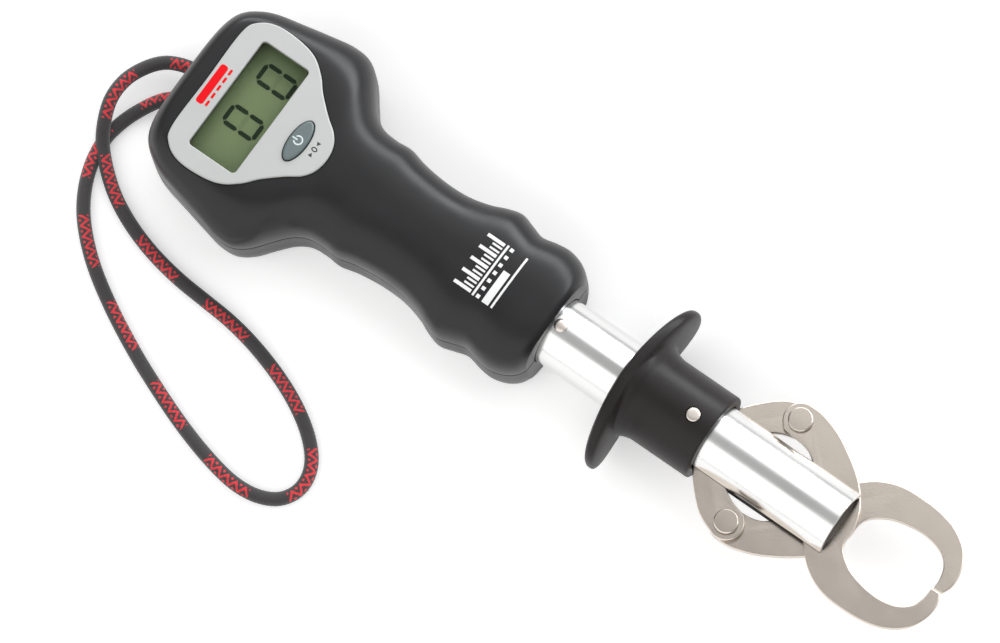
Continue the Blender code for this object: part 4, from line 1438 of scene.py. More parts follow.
@dataclass
class Marks:
    """The red mark and the zero mark that are printed on the trim plate."""

    layout: Layout
    ink: tuple[float, float] = (0.005 * MM, 0.035 * MM)
    bar_x: tuple[float, float] = (-0.2314, -0.2288)
    bar_y: tuple[float, float] = (-7.6 * MM, 6.4 * MM)
    bar_corner: float = 0.9 * MM
    dash_x: tuple[float, float] = (-0.2281, -0.2273)
    dash_count: int = 5
    dash_start: float = -6.2 * MM
    dash_pitch: float = 2.9 * MM
    dash_half: float = 1.0 * MM
    dash_corner: float = 0.3 * MM
    zero_place: Point2 = (-0.1929, 0.6 * MM)
    zero_size: Point2 = (2.0 * MM, 1.5 * MM)
    zero_inside: Point2 = (1.3 * MM, 0.8 * MM)
    arrow_reach: tuple[float, float] = (1.3 * MM, 2.5 * MM)
    arrow_half: float = 0.7 * MM

    def red(self, low: float, high: float) -> None:
        """Builds the bar and the row of dashes beside it.

        Args:
            low: Height of the ink's underside.
            high: Height of its top.
        """
        x = self.layout.tube_front
        (rear, front), (left, right) = self.bar_x, self.bar_y
        forms = [box_plate((x + rear, left), (x + front, right), self.bar_corner, low, high)]
        rear, front = self.dash_x
        for number in range(self.dash_count):
            y = self.dash_start + number * self.dash_pitch
            corners = (x + rear, y - self.dash_half), (x + front, y + self.dash_half)
            forms.append(plate(rounded_box(*corners, self.dash_corner, 3), low, high))
        piece("red_mark", merged(forms), RED_INK, "handle")

    def zero(self, low: float, high: float) -> None:
        """Builds the nought between its two arrows.

        Args:
            low: Height of the ink's underside.
            high: Height of its top.
        """
        middle = (self.layout.tube_front + self.zero_place[0], self.zero_place[1])
        ring = plate(oval(middle, self.zero_size, 32), low, high)
        hole = plate(oval(middle, self.zero_inside, 32), low - MM, high + MM)
        forms = [combined(ring, [hole])]
        for side in (1, -1):
            tip, base = (middle[1] + side * reach for reach in self.arrow_reach)
            ends = [(middle[0] + half, base) for half in (self.arrow_half, -self.arrow_half)]
            forms.append(plate([(middle[0], tip), *ends], low, high))
        piece("zero_mark", merged(forms), DARK_INK, "handle")

    def build(self) -> None:
        """Prints both marks."""
        low, high = (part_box("bezel_plate")[1].z + height for height in self.ink)
        self.red(low, high)
        self.zero(low, high)


@dataclass
class PowerButton:
    """The oval button, with a flange that keeps it in, and its printed symbol."""

    layout: Layout
    centre: float
    rim: float = 0.7 * MM
    flange_top: float = 14.0 * MM
    flange_thick: float = 1.6 * MM
    flange_rim: float = 0.2 * MM
    ink: float = 0.02 * MM
    ring: tuple[float, float] = (1.10 * MM, 1.55 * MM)
    ring_angles: tuple[float, float] = (215.0, 505.0)
    stroke_ends: tuple[float, float] = (2.1 * MM, 0.2 * MM)
    stroke_half: float = 0.22 * MM
    stroke_corner: float = 0.2 * MM

    def build(self, outline: list[Point2], flange_outline: list[Point2]) -> None:
        """Builds the button and its symbol.

        Args:
            outline: The button's outline.
            flange_outline: Its flange's outline.
        """
        low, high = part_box("power_button")
        flange_top = self.layout.axis_z + self.flange_top
        stem = plate(outline, low.z, high.z, self.rim, 4)
        flange_floor = flange_top - self.flange_thick
        flange = plate(flange_outline, flange_floor, flange_top, self.flange_rim, 1)
        form = combined(stem, [flange], Work.JOIN)
        piece("power_button_cap", form, BUTTON_TEAL, "button", ["power_button"])
        x = self.layout.tube_front + self.centre
        floor, top = high.z - self.ink, high.z + self.ink
        inner, outer = self.ring
        start, end = self.ring_angles
        ring = arc((x, 0.0), outer, start, end, 28) + arc((x, 0.0), inner, end, start, 28)
        rear, front = (x - reach for reach in self.stroke_ends)
        corners = (rear, -self.stroke_half), (front, self.stroke_half)
        stroke = rounded_box(*corners, self.stroke_corner, 3)
        symbol = merged([plate(line, floor, top) for line in (ring, stroke)])
        piece("power_symbol", symbol, PALE_INK, "button")


@dataclass
class GripPrint:
    """A plain graduated scale printed on the grip."""

    layout: Layout
    rear: float = -0.1356
    front: float = -0.1206
    left: float = -8.4 * MM
    right: float = 10.2 * MM
    ink: float = 0.03 * MM
    ticks: int = 13
    line_half: float = 0.35 * MM
    stand_off: float = 1.0 * MM
    long_tick: Point2 = (6.2 * MM, 0.55 * MM)
    short_tick: Point2 = (3.4 * MM, 0.32 * MM)
    block_half: float = 0.6 * MM
    band: tuple[float, float] = (-4.2 * MM, -1.8 * MM)
    band_share: float = 0.62
    rule: tuple[float, float] = (-1.0 * MM, -0.3 * MM)
    cell: float = 0.6 * MM

    def bars(self) -> list[tuple[float, float, float, float]]:
        """Lists the printed bars.

        Returns:
            The low X, high X, low Y and high Y of each bar.
        """
        middle, width = (self.rear + self.front) / 2, self.right - self.left
        under, over = middle - self.stand_off, middle + self.stand_off
        found = [(middle - self.line_half, middle + self.line_half, self.left, self.right)]
        for number in range(self.ticks):
            y = self.left + width * (number + 0.5) / self.ticks
            reach, half = self.short_tick if number % 3 else self.long_tick
            found.append((under - reach, under, y - half, y + half))
            if number % 2 == 0:
                half = self.block_half
                found.append((over, over + 2 * half, y - half, y + half))
        for (low, high), share in ((self.band, self.band_share), (self.rule, 1.0)):
            end = self.left + width * share
            found.append((self.front + low, self.front + high, self.left, end))
        return found

    def build(self, shell: bpy.types.Object) -> None:
        """Prints the scale on the shell.

        Args:
            shell: The upper shell.
        """
        surface = bmesh.new()
        surface.from_mesh(shell.data)
        tree = BVHTree.FromBMesh(surface)
        form = bmesh.new()
        for low_x, high_x, low_y, high_y in self.bars():
            long, wide = high_x - low_x, high_y - low_y
            made = bmesh.ops.create_grid(
                form,
                x_segments=max(1, round(long / self.cell)),
                y_segments=max(1, round(wide / self.cell)),
                size=0.5,
            )["verts"]
            x = (low_x + high_x) / 2 + self.layout.tube_front
            bmesh.ops.scale(form, vec=(long, wide, 1), verts=made)
            bmesh.ops.translate(form, vec=(x, (low_y + high_y) / 2, 0.0), verts=made)
        for vert in form.verts:
            hit = tree.ray_cast(Vector((vert.co.x, vert.co.y, OVER)), Vector((0, 0, -1)))[0]
            vert.co.z = hit.z + 0.5 * self.ink
        bmesh.ops.recalc_face_normals(form, faces=form.faces)
        bmesh.ops.solidify(form, geom=form.faces, thickness=self.ink)
        surface.free()
        piece("grip_print", form, WHITE_INK, "handle")


# ---------------------------------------------------------------- metalwork
@dataclass
class Tube:
    """The polished tube with its slots, and the rivet that holds it in the handle."""

    layout: Layout
    slot_height: float = 5.2 * MM
    slot_rear: float = -0.062
    slot_reach: float = 0.02
    slot_corner: float = 0.5 * MM
    wall: float = 1.2 * MM
    edge: float = 0.25 * MM
    pin_travel: float = 0.0141
    pin_room: float = 2.1 * MM
    pin_slot_half: float = 1.8 * MM
    pin_slot_corner: float = 1.7 * MM
    pivot_hole: float = 1.8 * MM
    rivet_x: float = -0.1020
    rivet_hole: float = 1.6 * MM
    rivet_round: float = 0.15 * MM
    bore_skin: float = 0.1 * MM
    rivet_profile: tuple[Point2, ...] = (
        (0.0, 0.95 * MM),
        (0.8 * MM, 0.90 * MM),
        (1.5 * MM, 0.72 * MM),
        (2.1 * MM, 0.30 * MM),
        (2.1 * MM, 0.0),
        (1.3 * MM, -0.05 * MM),
        (1.3 * MM, -6.0 * MM),
        (0.0, -6.0 * MM),
    )

    def cutters(self, front: float) -> list[bmesh.types.BMesh]:
        """Makes the cutters of the jaws' slot, the sleeve pin's slot and the two round holes.

        Args:
            front: X of the tube's front end.

        Returns:
            The cutters.
        """
        axis, half = self.layout.axis_z, self.slot_height / 2
        pin_x = middle_x("sleeve_pin")
        rivet_x = self.layout.at(self.rivet_x).x
        return [
            box_plate(
                (front + self.slot_rear, -self.slot_reach),
                (front + PAST, self.slot_reach),
                self.slot_corner,
                axis - half,
                axis + half,
            ),
            box_plate(
                (pin_x - self.pin_travel, -self.pin_slot_half),
                (pin_x + self.pin_room, self.pin_slot_half),
                self.pin_slot_corner,
                UNDER,
                OVER,
            ),
            shaft(self.pivot_hole, middle_x("link_pivot_pin"), 0.0, UNDER, OVER),
            shaft(self.rivet_hole, rivet_x, 0.0, axis, OVER),
        ]

    def build(self) -> None:
        """Builds the tube and its rivet."""
        low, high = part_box("main_tube")
        outer, length = (high.z - low.z) / 2, high.x - low.x
        inner = outer - self.wall
        seam = (inner, length / 2)
        profile = [seam, (inner, 0.0), (outer, 0.0), (outer, length), (inner, length)]
        profile = [*round_corners(profile, self.edge), seam]
        form = turned(profile, self.layout.at(low.x - high.x), (1, 0, 0), 128)
        form = combined(form, self.cutters(high.x))
        # Painted shade fills the bore, starting just within its wall.
        polished = replace(POLISHED, axis_z=self.layout.axis_z, bore=inner + self.bore_skin)
        piece("polished_tube", form, polished, "handle", ["main_tube"])
        seat = self.layout.at(self.rivet_x, 0.0, outer + GAP)
        profile = round_corners(self.rivet_profile, self.rivet_round, 3)
        rivet = turned(profile, seat, (0, 0, 1), 40)
        piece("tube_rivet_head", rivet, BRIGHT_STEEL, "handle", ["tube_rivet"])


@dataclass
class Trigger:
    """The sliding sleeve with its winged finger flange, and the pin through it."""

    layout: Layout
    flange_half: tuple[float, float, float] = (3.0 * MM, 28.3 * MM, 17.4 * MM)
    sweep: float = 3.6 * MM
    ball_bulge: tuple[float, float, float] = (0.55, 0.8, 0.8)
    spread: float = 0.6
    sweep_rise: float = 1.6
    inset: float = 0.4 * MM
    length: float = 33.0 * MM
    radius: float = 14.2 * MM
    collar: tuple[Point2, ...] = (
        (0.0, 12.0 * MM),
        (0.8 * MM, 9.2 * MM),
        (2.4 * MM, 6.8 * MM),
        (2.6 * MM, 4.0 * MM),
        (-0.4 * MM, 0.8 * MM),
    )
    voxel: float = 0.42 * MM
    smoothing: int = 9
    bore: float = 11.4 * MM
    pin_hole: float = 1.8 * MM
    pin_seat: float = 2.45 * MM
    seat_floor: float = 12.8 * MM
    pin_shank: float = 1.5 * MM
    pin_round: float = 0.12 * MM
    pin_head_floor: float = 13.1 * MM
    pin_head: tuple[Point2, ...] = (
        (0.0, 0.0),
        (1.2 * MM, 0.04 * MM),
        (1.9 * MM, 0.15 * MM),
        (2.2 * MM, 0.45 * MM),
    )

    def flange(self) -> bmesh.types.BMesh:
        """Makes the flange: a flattened ball, swept forward towards its tips.

        Returns:
            The flange's form.
        """
        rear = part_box("trigger_sleeve")[0].x
        thick, wide, tall = self.flange_half
        bulge_x, bulge_y, bulge_z = self.ball_bulge
        form = bmesh.new()
        bmesh.ops.create_uvsphere(form, u_segments=96, v_segments=48, radius=1.0)
        quarter = Matrix.Rotation(math.pi / 2, 3, "Y")
        bmesh.ops.rotate(form, cent=(0, 0, 0), matrix=quarter, verts=form.verts)
        for vert in form.verts:
            x, y, z = vert.co
            around, spread = math.atan2(z, y), math.hypot(y, z) ** self.spread
            across, up = math.cos(around), math.sin(around)
            y_out = wide * spread * math.copysign(abs(across) ** bulge_y, across)
            z_out = tall * spread * math.copysign(abs(up) ** bulge_z, up)
            x_out = thick * math.copysign(abs(x) ** bulge_x, x)
            x_out += self.sweep * (abs(y_out) / wide) ** self.sweep_rise
            vert.co = Vector((rear + thick + self.inset + x_out, y_out, self.layout.axis_z + z_out))
        bmesh.ops.recalc_face_normals(form, faces=form.faces)
        return form

    def sleeve(self, start: Vector) -> bmesh.types.BMesh:
        """Makes the sleeve and its flange as one soft-edged solid, before its bore.

        Args:
            start: Middle of the sleeve's rear end.

        Returns:
            The solid.
        """
        collar = [(self.radius + out, along) for out, along in self.collar]
        front = [(0.0, self.length), (self.radius, self.length)]
        form = turned([*front, *collar, (0.0, collar[-1][1])], start, (1, 0, 0), 96)
        solid = held(combined(form, [self.flange()], Work.JOIN), "sleeve")
        remesh = solid.modifiers.new("even", "REMESH")
        remesh.mode = "VOXEL"
        remesh.voxel_size = self.voxel
        smooth = solid.modifiers.new("ease", "SMOOTH")
        smooth.factor = 0.5
        smooth.iterations = self.smoothing
        return settled(solid)

    def pin(self, x: float) -> None:
        """Builds the pin with its domed head.

        Args:
            x: X of its axis.
        """
        low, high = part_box("sleeve_pin")
        axis = self.layout.axis_z
        head, foot = high.z - axis, low.z - axis
        profile = [(radius, head - drop) for radius, drop in self.pin_head]
        profile += [
            (profile[-1][0], self.pin_head_floor),
            (self.pin_shank, self.pin_head_floor),
            (self.pin_shank, foot),
            (0.0, foot),
        ]
        profile = round_corners(profile, self.pin_round, 3)
        form = turned(profile, Vector((x, 0, axis)), (0, 0, 1), 40)
        piece("trigger_pin", form, BRIGHT_STEEL, "trigger", ["sleeve_pin"])

    def build(self) -> None:
        """Builds the sleeve and its pin."""
        axis = self.layout.axis_z
        start = Vector((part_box("trigger_sleeve")[0].x, 0.0, axis))
        past = Vector((PAST, 0, 0))
        end = start + past + Vector((self.length, 0, 0))
        pin_x = middle_x("sleeve_pin")
        cuts = [
            drum(self.bore, start - past, end, steps=96),
            shaft(self.pin_hole, pin_x, 0.0, UNDER, OVER, 32),
            shaft(self.pin_seat, pin_x, 0.0, axis + self.seat_floor, OVER, 40),
        ]
        form = combined(self.sleeve(start), cuts)
        piece("trigger", form, TRIGGER_BLACK, "trigger", ["trigger_sleeve"], 50.0, False)
        self.pin(pin_x)


class Side(Enum):
    """The side that a jaw's or a link's elbow lies on."""

    PLUS_Y = 1
    MINUS_Y = -1


@dataclass
class Gripper:
    """The two jaws, the two links and the rivets at their elbows."""

    layout: Layout
    elbow: Point2 = (-0.0282, 0.0190)
    elbow_round: float = 5.5 * MM
    jaw_elbow: tuple[float, float] = (250.0, 88.0)
    link_elbow: tuple[float, float] = (110.0, -60.0)
    link_eye_turn: tuple[float, float] = (-30.0, -190.0)
    jaw_elbow_hole: float = 2.6 * MM
    link_elbow_hole: float = 2.1 * MM
    jaw_pivot_hole: float = 2.3 * MM
    link_pivot_hole: float = 1.8 * MM
    rivet_head: float = 1.2 * MM
    rivet_shank: float = 1.8 * MM
    rivet_round: float = 0.10 * MM
    rivet_chamfer: Point2 = (0.35 * MM, 0.30 * MM)
    link_pivot: float = -0.0483
    jaw_pivot: float = -0.0061
    link_eye: float = 3.1 * MM
    edge: float = 0.42 * MM
    jaw_outline: tuple[Point2, ...] = (
        (0.0363, -0.0003),
        (0.0377, -0.0040),
        (0.0372, -0.0090),
        (0.0345, -0.0142),
        (0.0300, -0.0178),
        (0.0245, -0.0199),
        (0.0170, -0.0208),
        (0.0080, -0.0203),
        (0.0005, -0.0172),
        (-0.0055, -0.0115),
        (-0.0100, -0.0040),
        (-0.0135, 0.0040),
        (-0.0180, 0.0105),
        (-0.0225, 0.0131),
    )
    jaw_inside: tuple[Point2, ...] = (
        (-0.0245, 0.0244),
        (-0.0209, 0.0236),
        (-0.0144, 0.0211),
        (-0.0044, 0.0147),
        (0.0012, 0.0085),
        (0.0038, 0.0025),
        (0.0046, -0.0050),
        (0.0098, -0.0095),
        (0.0160, -0.0114),
        (0.0224, -0.0119),
        (0.0280, -0.0106),
        (0.0316, -0.0078),
        (0.0331, -0.0040),
        (0.0333, -0.0003),
    )
    link_outer: tuple[Point2, ...] = (
        (-0.0365, 0.0214),
        (-0.0423, 0.0161),
        (-0.0458, 0.0118),
        (-0.0491, 0.0064),
    )
    link_inner: tuple[Point2, ...] = (
        (-0.0432, 0.0022),
        (-0.0395, 0.0062),
        (-0.0352, 0.0100),
        (-0.0305, 0.0128),
    )

    def jaw_line(self) -> list[Vector]:
        """Draws the outline of the jaw whose elbow is at +Y, sharp only at its tip.

        Returns:
            The outline.
        """
        elbow = arc(self.elbow, self.elbow_round, *self.jaw_elbow, 9)
        return smooth_line([*self.jaw_outline, *elbow, *self.jaw_inside], 4)

    def link_line(self) -> list[Vector]:
        """Draws the outline of the +Y link, round at both ends.

        Returns:
            The outline.
        """
        eye = (self.link_pivot, 0.0)
        points = arc(self.elbow, self.elbow_round, *self.link_elbow, 11)
        points += reversed(self.link_inner)
        points += arc(eye, self.link_eye, *self.link_eye_turn, 8)
        points += reversed(self.link_outer)
        return smooth_line(points, 4, closed=True)

    def flat(
        self, side: Side, node: str, line: list[Vector], holes: list[tuple[float, float, float]]
    ) -> None:
        """Builds one plate with its round edges.

        Args:
            side: Its elbow's side.
            node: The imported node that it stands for, which is also the body that it moves with.
            line: Its outline for an elbow at +Y.
            holes: X, Y and radius of its holes.
        """
        low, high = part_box(node)
        front = self.layout.tube_front
        outline = [(front + x, side.value * y) for x, y in line]
        form = plate(outline, low.z, high.z, self.edge, 3)
        cuts = [shaft(radius, front + x, side.value * y, 0.0, OVER) for x, y, radius in holes]
        name = node.replace("_", "_plate_")
        piece(name, combined(form, cuts), SATIN_STEEL, node, [node])

    def rivet(self, side: Side, node: str, body: str) -> None:
        """Builds an elbow rivet with a flat head at both ends.

        Args:
            side: Its elbow's side.
            node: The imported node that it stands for.
            body: The body that it moves with.
        """
        low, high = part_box(node)
        top, radius = (high.z - low.z) / 2, (high.x - low.x) / 2
        face = top - self.rivet_head
        slope, drop = self.rivet_chamfer
        half = [
            (0.0, top),
            (radius - slope, top),
            (radius, top - drop),
            (radius, face),
            (self.rivet_shank, face),
        ]
        profile = half + [(r, -h) for r, h in reversed(half)]
        centre = self.layout.at(self.elbow[0], side.value * self.elbow[1])
        form = turned(round_corners(profile, self.rivet_round, 2), centre, (0, 0, 1), 64)
        piece(node.replace("rivet_", "rivet_head_"), form, SATIN_STEEL, body, [node])

    def build(self) -> None:
        """Builds jaws, links and rivets."""
        jaw, link = self.jaw_line(), self.link_line()
        jaw_holes = [
            (*self.elbow, self.jaw_elbow_hole),
            (self.jaw_pivot, 0.0, self.jaw_pivot_hole),
        ]
        link_holes = [
            (*self.elbow, self.link_elbow_hole),
            (self.link_pivot, 0.0, self.link_pivot_hole),
        ]
        self.flat(Side.PLUS_Y, "jaw_a", jaw, jaw_holes)
        self.flat(Side.MINUS_Y, "jaw_b", jaw, jaw_holes)
        self.flat(Side.PLUS_Y, "link_a", link, link_holes)
        self.flat(Side.MINUS_Y, "link_b", link, link_holes)
        self.rivet(Side.PLUS_Y, "elbow_rivet_a", "link_a")
        self.rivet(Side.MINUS_Y, "elbow_rivet_b", "link_b")


@dataclass(frozen=True)
class Screw:
    """A kind of screw: its head's height, shank, number of turns, and its cross's depth."""

    head: float
    shank: float
    turns: int
    cross_depth: float


HOUSING_SCREW = Screw(1.7 * MM, 1.3 * MM, 12, 1.0 * MM)
DOOR_SCREW = Screw(0.3 * MM, 1.1 * MM, 5, 0.25 * MM)


@dataclass
class Back:
    """The battery door and the screws in the handle's back."""

    layout: Layout
    cross_arm: float = 0.55 * MM
    cross_share: float = 0.62
    root: float = 0.86
    point: float = 0.5
    head_edge: float = 0.45
    head_face: float = 0.8
    flank: tuple[float, float] = (0.3, 0.65)
    panel_corner: float = 1.1 * MM
    panel_rim: float = 0.25 * MM
    tab_half: float = 6 * MM
    tab_corner: float = 0.9 * MM
    tab_top: float = 1.3 * MM
    tab_rim: float = 0.2 * MM
    tab_overlap: float = 2 * MM
    screw_hole: float = 1.4 * MM
    screw_seat: float = 2.4 * MM
    seat_depth: float = 0.8 * MM
    ribs: int = 5
    rib_start: float = 5 * MM
    rib_pitch: float = 2.2 * MM
    rib_width: float = 0.9 * MM
    rib_half: float = 7 * MM
    rib_depth: float = 0.35 * MM
    rib_corner: float = 0.4 * MM

    def cross(self, centre: Vector, reach: float, depth: float) -> list[bmesh.types.BMesh]:
        """Makes the cutters of a cross recess that opens downwards.

        Args:
            centre: Middle of the screw's face.
            reach: Half the cross's size.
            depth: Its depth.

        Returns:
            Two bars.
        """
        arm = self.cross_arm / 2
        bars = []
        for half_x, half_y in ((reach, arm), (arm, reach)):
            corners = ((-half_x, -half_y), (half_x, -half_y), (half_x, half_y), (-half_x, half_y))
            outline = [(centre.x + x, centre.y + y) for x, y in corners]
            bars.append(plate(outline, centre.z - MM, centre.z + depth))
        return bars

    def screw(self, node: str, kind: Screw) -> None:
        """Builds a cross-head screw in place of a packed one.

        Args:
            node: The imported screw.
            kind: Its kind.
        """
        low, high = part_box(node)
        radius, length = (high.x - low.x) / 2, high.z - low.z
        shank, start = kind.shank, length - kind.shank
        profile = [(0.0, length), (shank * self.point, length), (shank, start)]
        pitch = (start - kind.head) / (kind.turns + 2)
        for turn in range(kind.turns):
            top = start - turn * pitch
            over, under = (top - share * pitch for share in self.flank)
            profile += [(shank, over), (shank * self.root, under), (shank, top - pitch)]
        profile += [
            (shank, kind.head),
            (radius, kind.head),
            (radius, kind.head * self.head_edge),
            (radius * self.head_face, 0.0),
            (0.0, 0.0),
        ]
        centre = Vector(((low.x + high.x) / 2, (low.y + high.y) / 2, low.z))
        form = turned(profile, centre, (0, 0, 1), 32)
        form = combined(form, self.cross(centre, radius * self.cross_share, kind.cross_depth))
        piece(node + "_cross_head", form, BRIGHT_STEEL, "handle", [node])

    def door(self) -> None:
        """Builds the battery door with its finger ribs."""
        low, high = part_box("battery_door")
        panel_end = low.x + DOOR_PANEL
        outline = rounded_box((low.x, low.y), (panel_end, high.y), self.panel_corner)
        panel = plate(outline, low.z, high.z, self.panel_rim, 2)
        start, end = (panel_end - self.tab_overlap, -self.tab_half), (high.x, self.tab_half)
        outline = rounded_box(start, end, self.tab_corner)
        tab = plate(outline, low.z, self.tab_top, self.tab_rim, 2)
        screw_x = middle_x("battery_door_screw")
        cuts = [
            shaft(self.screw_hole, screw_x, 0.0, UNDER, PAST),
            shaft(self.screw_seat, screw_x, 0.0, UNDER, self.seat_depth),
        ]
        for number in range(self.ribs):
            x = low.x + self.rib_start + number * self.rib_pitch
            start, end = (x, -self.rib_half), (x + self.rib_width, self.rib_half)
            groove = rounded_box(start, end, self.rib_corner, 3)
            cuts.append(plate(groove, -MM, low.z + self.rib_depth))
        form = combined(combined(panel, [tab], Work.JOIN), cuts)
        piece("battery_cover", form, CHARCOAL, "handle", ["battery_door"])

    def build(self) -> None:
        """Builds the door and its screws."""
        self.door()
        for number in range(1, 5):
            self.screw(f"housing_screw_{number}", HOUSING_SCREW)
        self.screw("battery_door_screw", DOOR_SCREW)


@dataclass
class Spring:
    """The return spring in the tube, built as one still coil; the real spring shortens as the
    trigger is pulled.
    """

    layout: Layout
    wire: float = 0.55 * MM
    turns: int = 7
    travel: float = 12 * MM
    closed_end: float = 0.12
    closed_rise: float = 0.08
    steps: int = 24
    wire_steps: int = 12

    def build(self) -> None:
        """Builds the coil with its two closed ends."""
        low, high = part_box("return_spring")
        radius = (high.z - low.z) / 2 - self.wire
        start, end = low.x + self.wire, high.x - self.wire
        axis = self.layout.axis_z

        def shape(along: float, around: float) -> Vector:
            """Gives a point of the wire.

            Args:
                along: Share of the wire's length.
                around: Share of a turn round the wire.

            Returns:
                The point.
            """
            opened = (along - self.closed_end) / (1 - 2 * self.closed_end)
            opened = min(1.0, max(0.0, opened))
            share = self.closed_rise * along + (1 - self.closed_rise) * opened
            turn, section = FULL_TURN * self.turns * along, FULL_TURN * around
            out = radius + self.wire * math.cos(section)
            x = start + (end - start) * share + self.wire * math.sin(section)
            return Vector((x, out * math.cos(turn), axis + out * math.sin(turn)))

        form = wrapped(self.turns * self.steps, self.wire_steps, shape)
        coil = piece("return_coil", form, SPRING_STEEL, "handle", ["return_spring"], 60.0, False)
        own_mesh(coil)


# ---------------------------------------------------------------- lanyard
CORD_ROUTE = (
    (-0.2343, 0.0050, 0.0071),
    (-0.2420, 0.0050, 0.0071),
    (-0.2480, 0.0038, 0.0069),
    (-0.2530, 0.0012, 0.0067),
    (-0.2568, -0.0036, 0.0068),
    (-0.2592, -0.0100, 0.0072),
    (-0.2592, -0.0172, 0.0071),
    (-0.2566, -0.0246, 0.0052),
    (-0.2526, -0.0306, 0.0032),
    (-0.2456, -0.0369, 0.0023),
    (-0.2386, -0.0414, 0.0023),
    (-0.2300, -0.0452, 0.0023),
    (-0.2205, -0.0480, 0.0023),
    (-0.2100, -0.0498, 0.0023),
    (-0.2000, -0.0506, 0.0023),
    (-0.1900, -0.0514, 0.0023),
    (-0.1800, -0.0532, 0.0023),
    (-0.1690, -0.0564, 0.0023),
    (-0.1590, -0.0606, 0.0023),
    (-0.1505, -0.0658, 0.0023),
    (-0.1446, -0.0715, 0.0023),
    (-0.1420, -0.0772, 0.0023),
    (-0.1423, -0.0828, 0.0023),
    (-0.1456, -0.0876, 0.0023),
    (-0.1520, -0.0905, 0.0023),
    (-0.1603, -0.0910, 0.0023),
    (-0.1708, -0.0891, 0.0023),
    (-0.1822, -0.0858, 0.0023),
    (-0.1946, -0.0812, 0.0023),
    (-0.2078, -0.0756, 0.0023),
    (-0.2218, -0.0685, 0.0023),
    (-0.2344, -0.0606, 0.0023),
    (-0.2438, -0.0523, 0.0023),
    (-0.2496, -0.0444, 0.0023),
    (-0.2532, -0.0358, 0.0023),
    (-0.2544, -0.0276, 0.0023),
    (-0.2534, -0.0206, 0.0023),
    (-0.2508, -0.0140, 0.0030),
    (-0.2468, -0.0083, 0.0052),
    (-0.2425, -0.0058, 0.0068),
    (-0.2343, -0.0055, 0.0071),
)


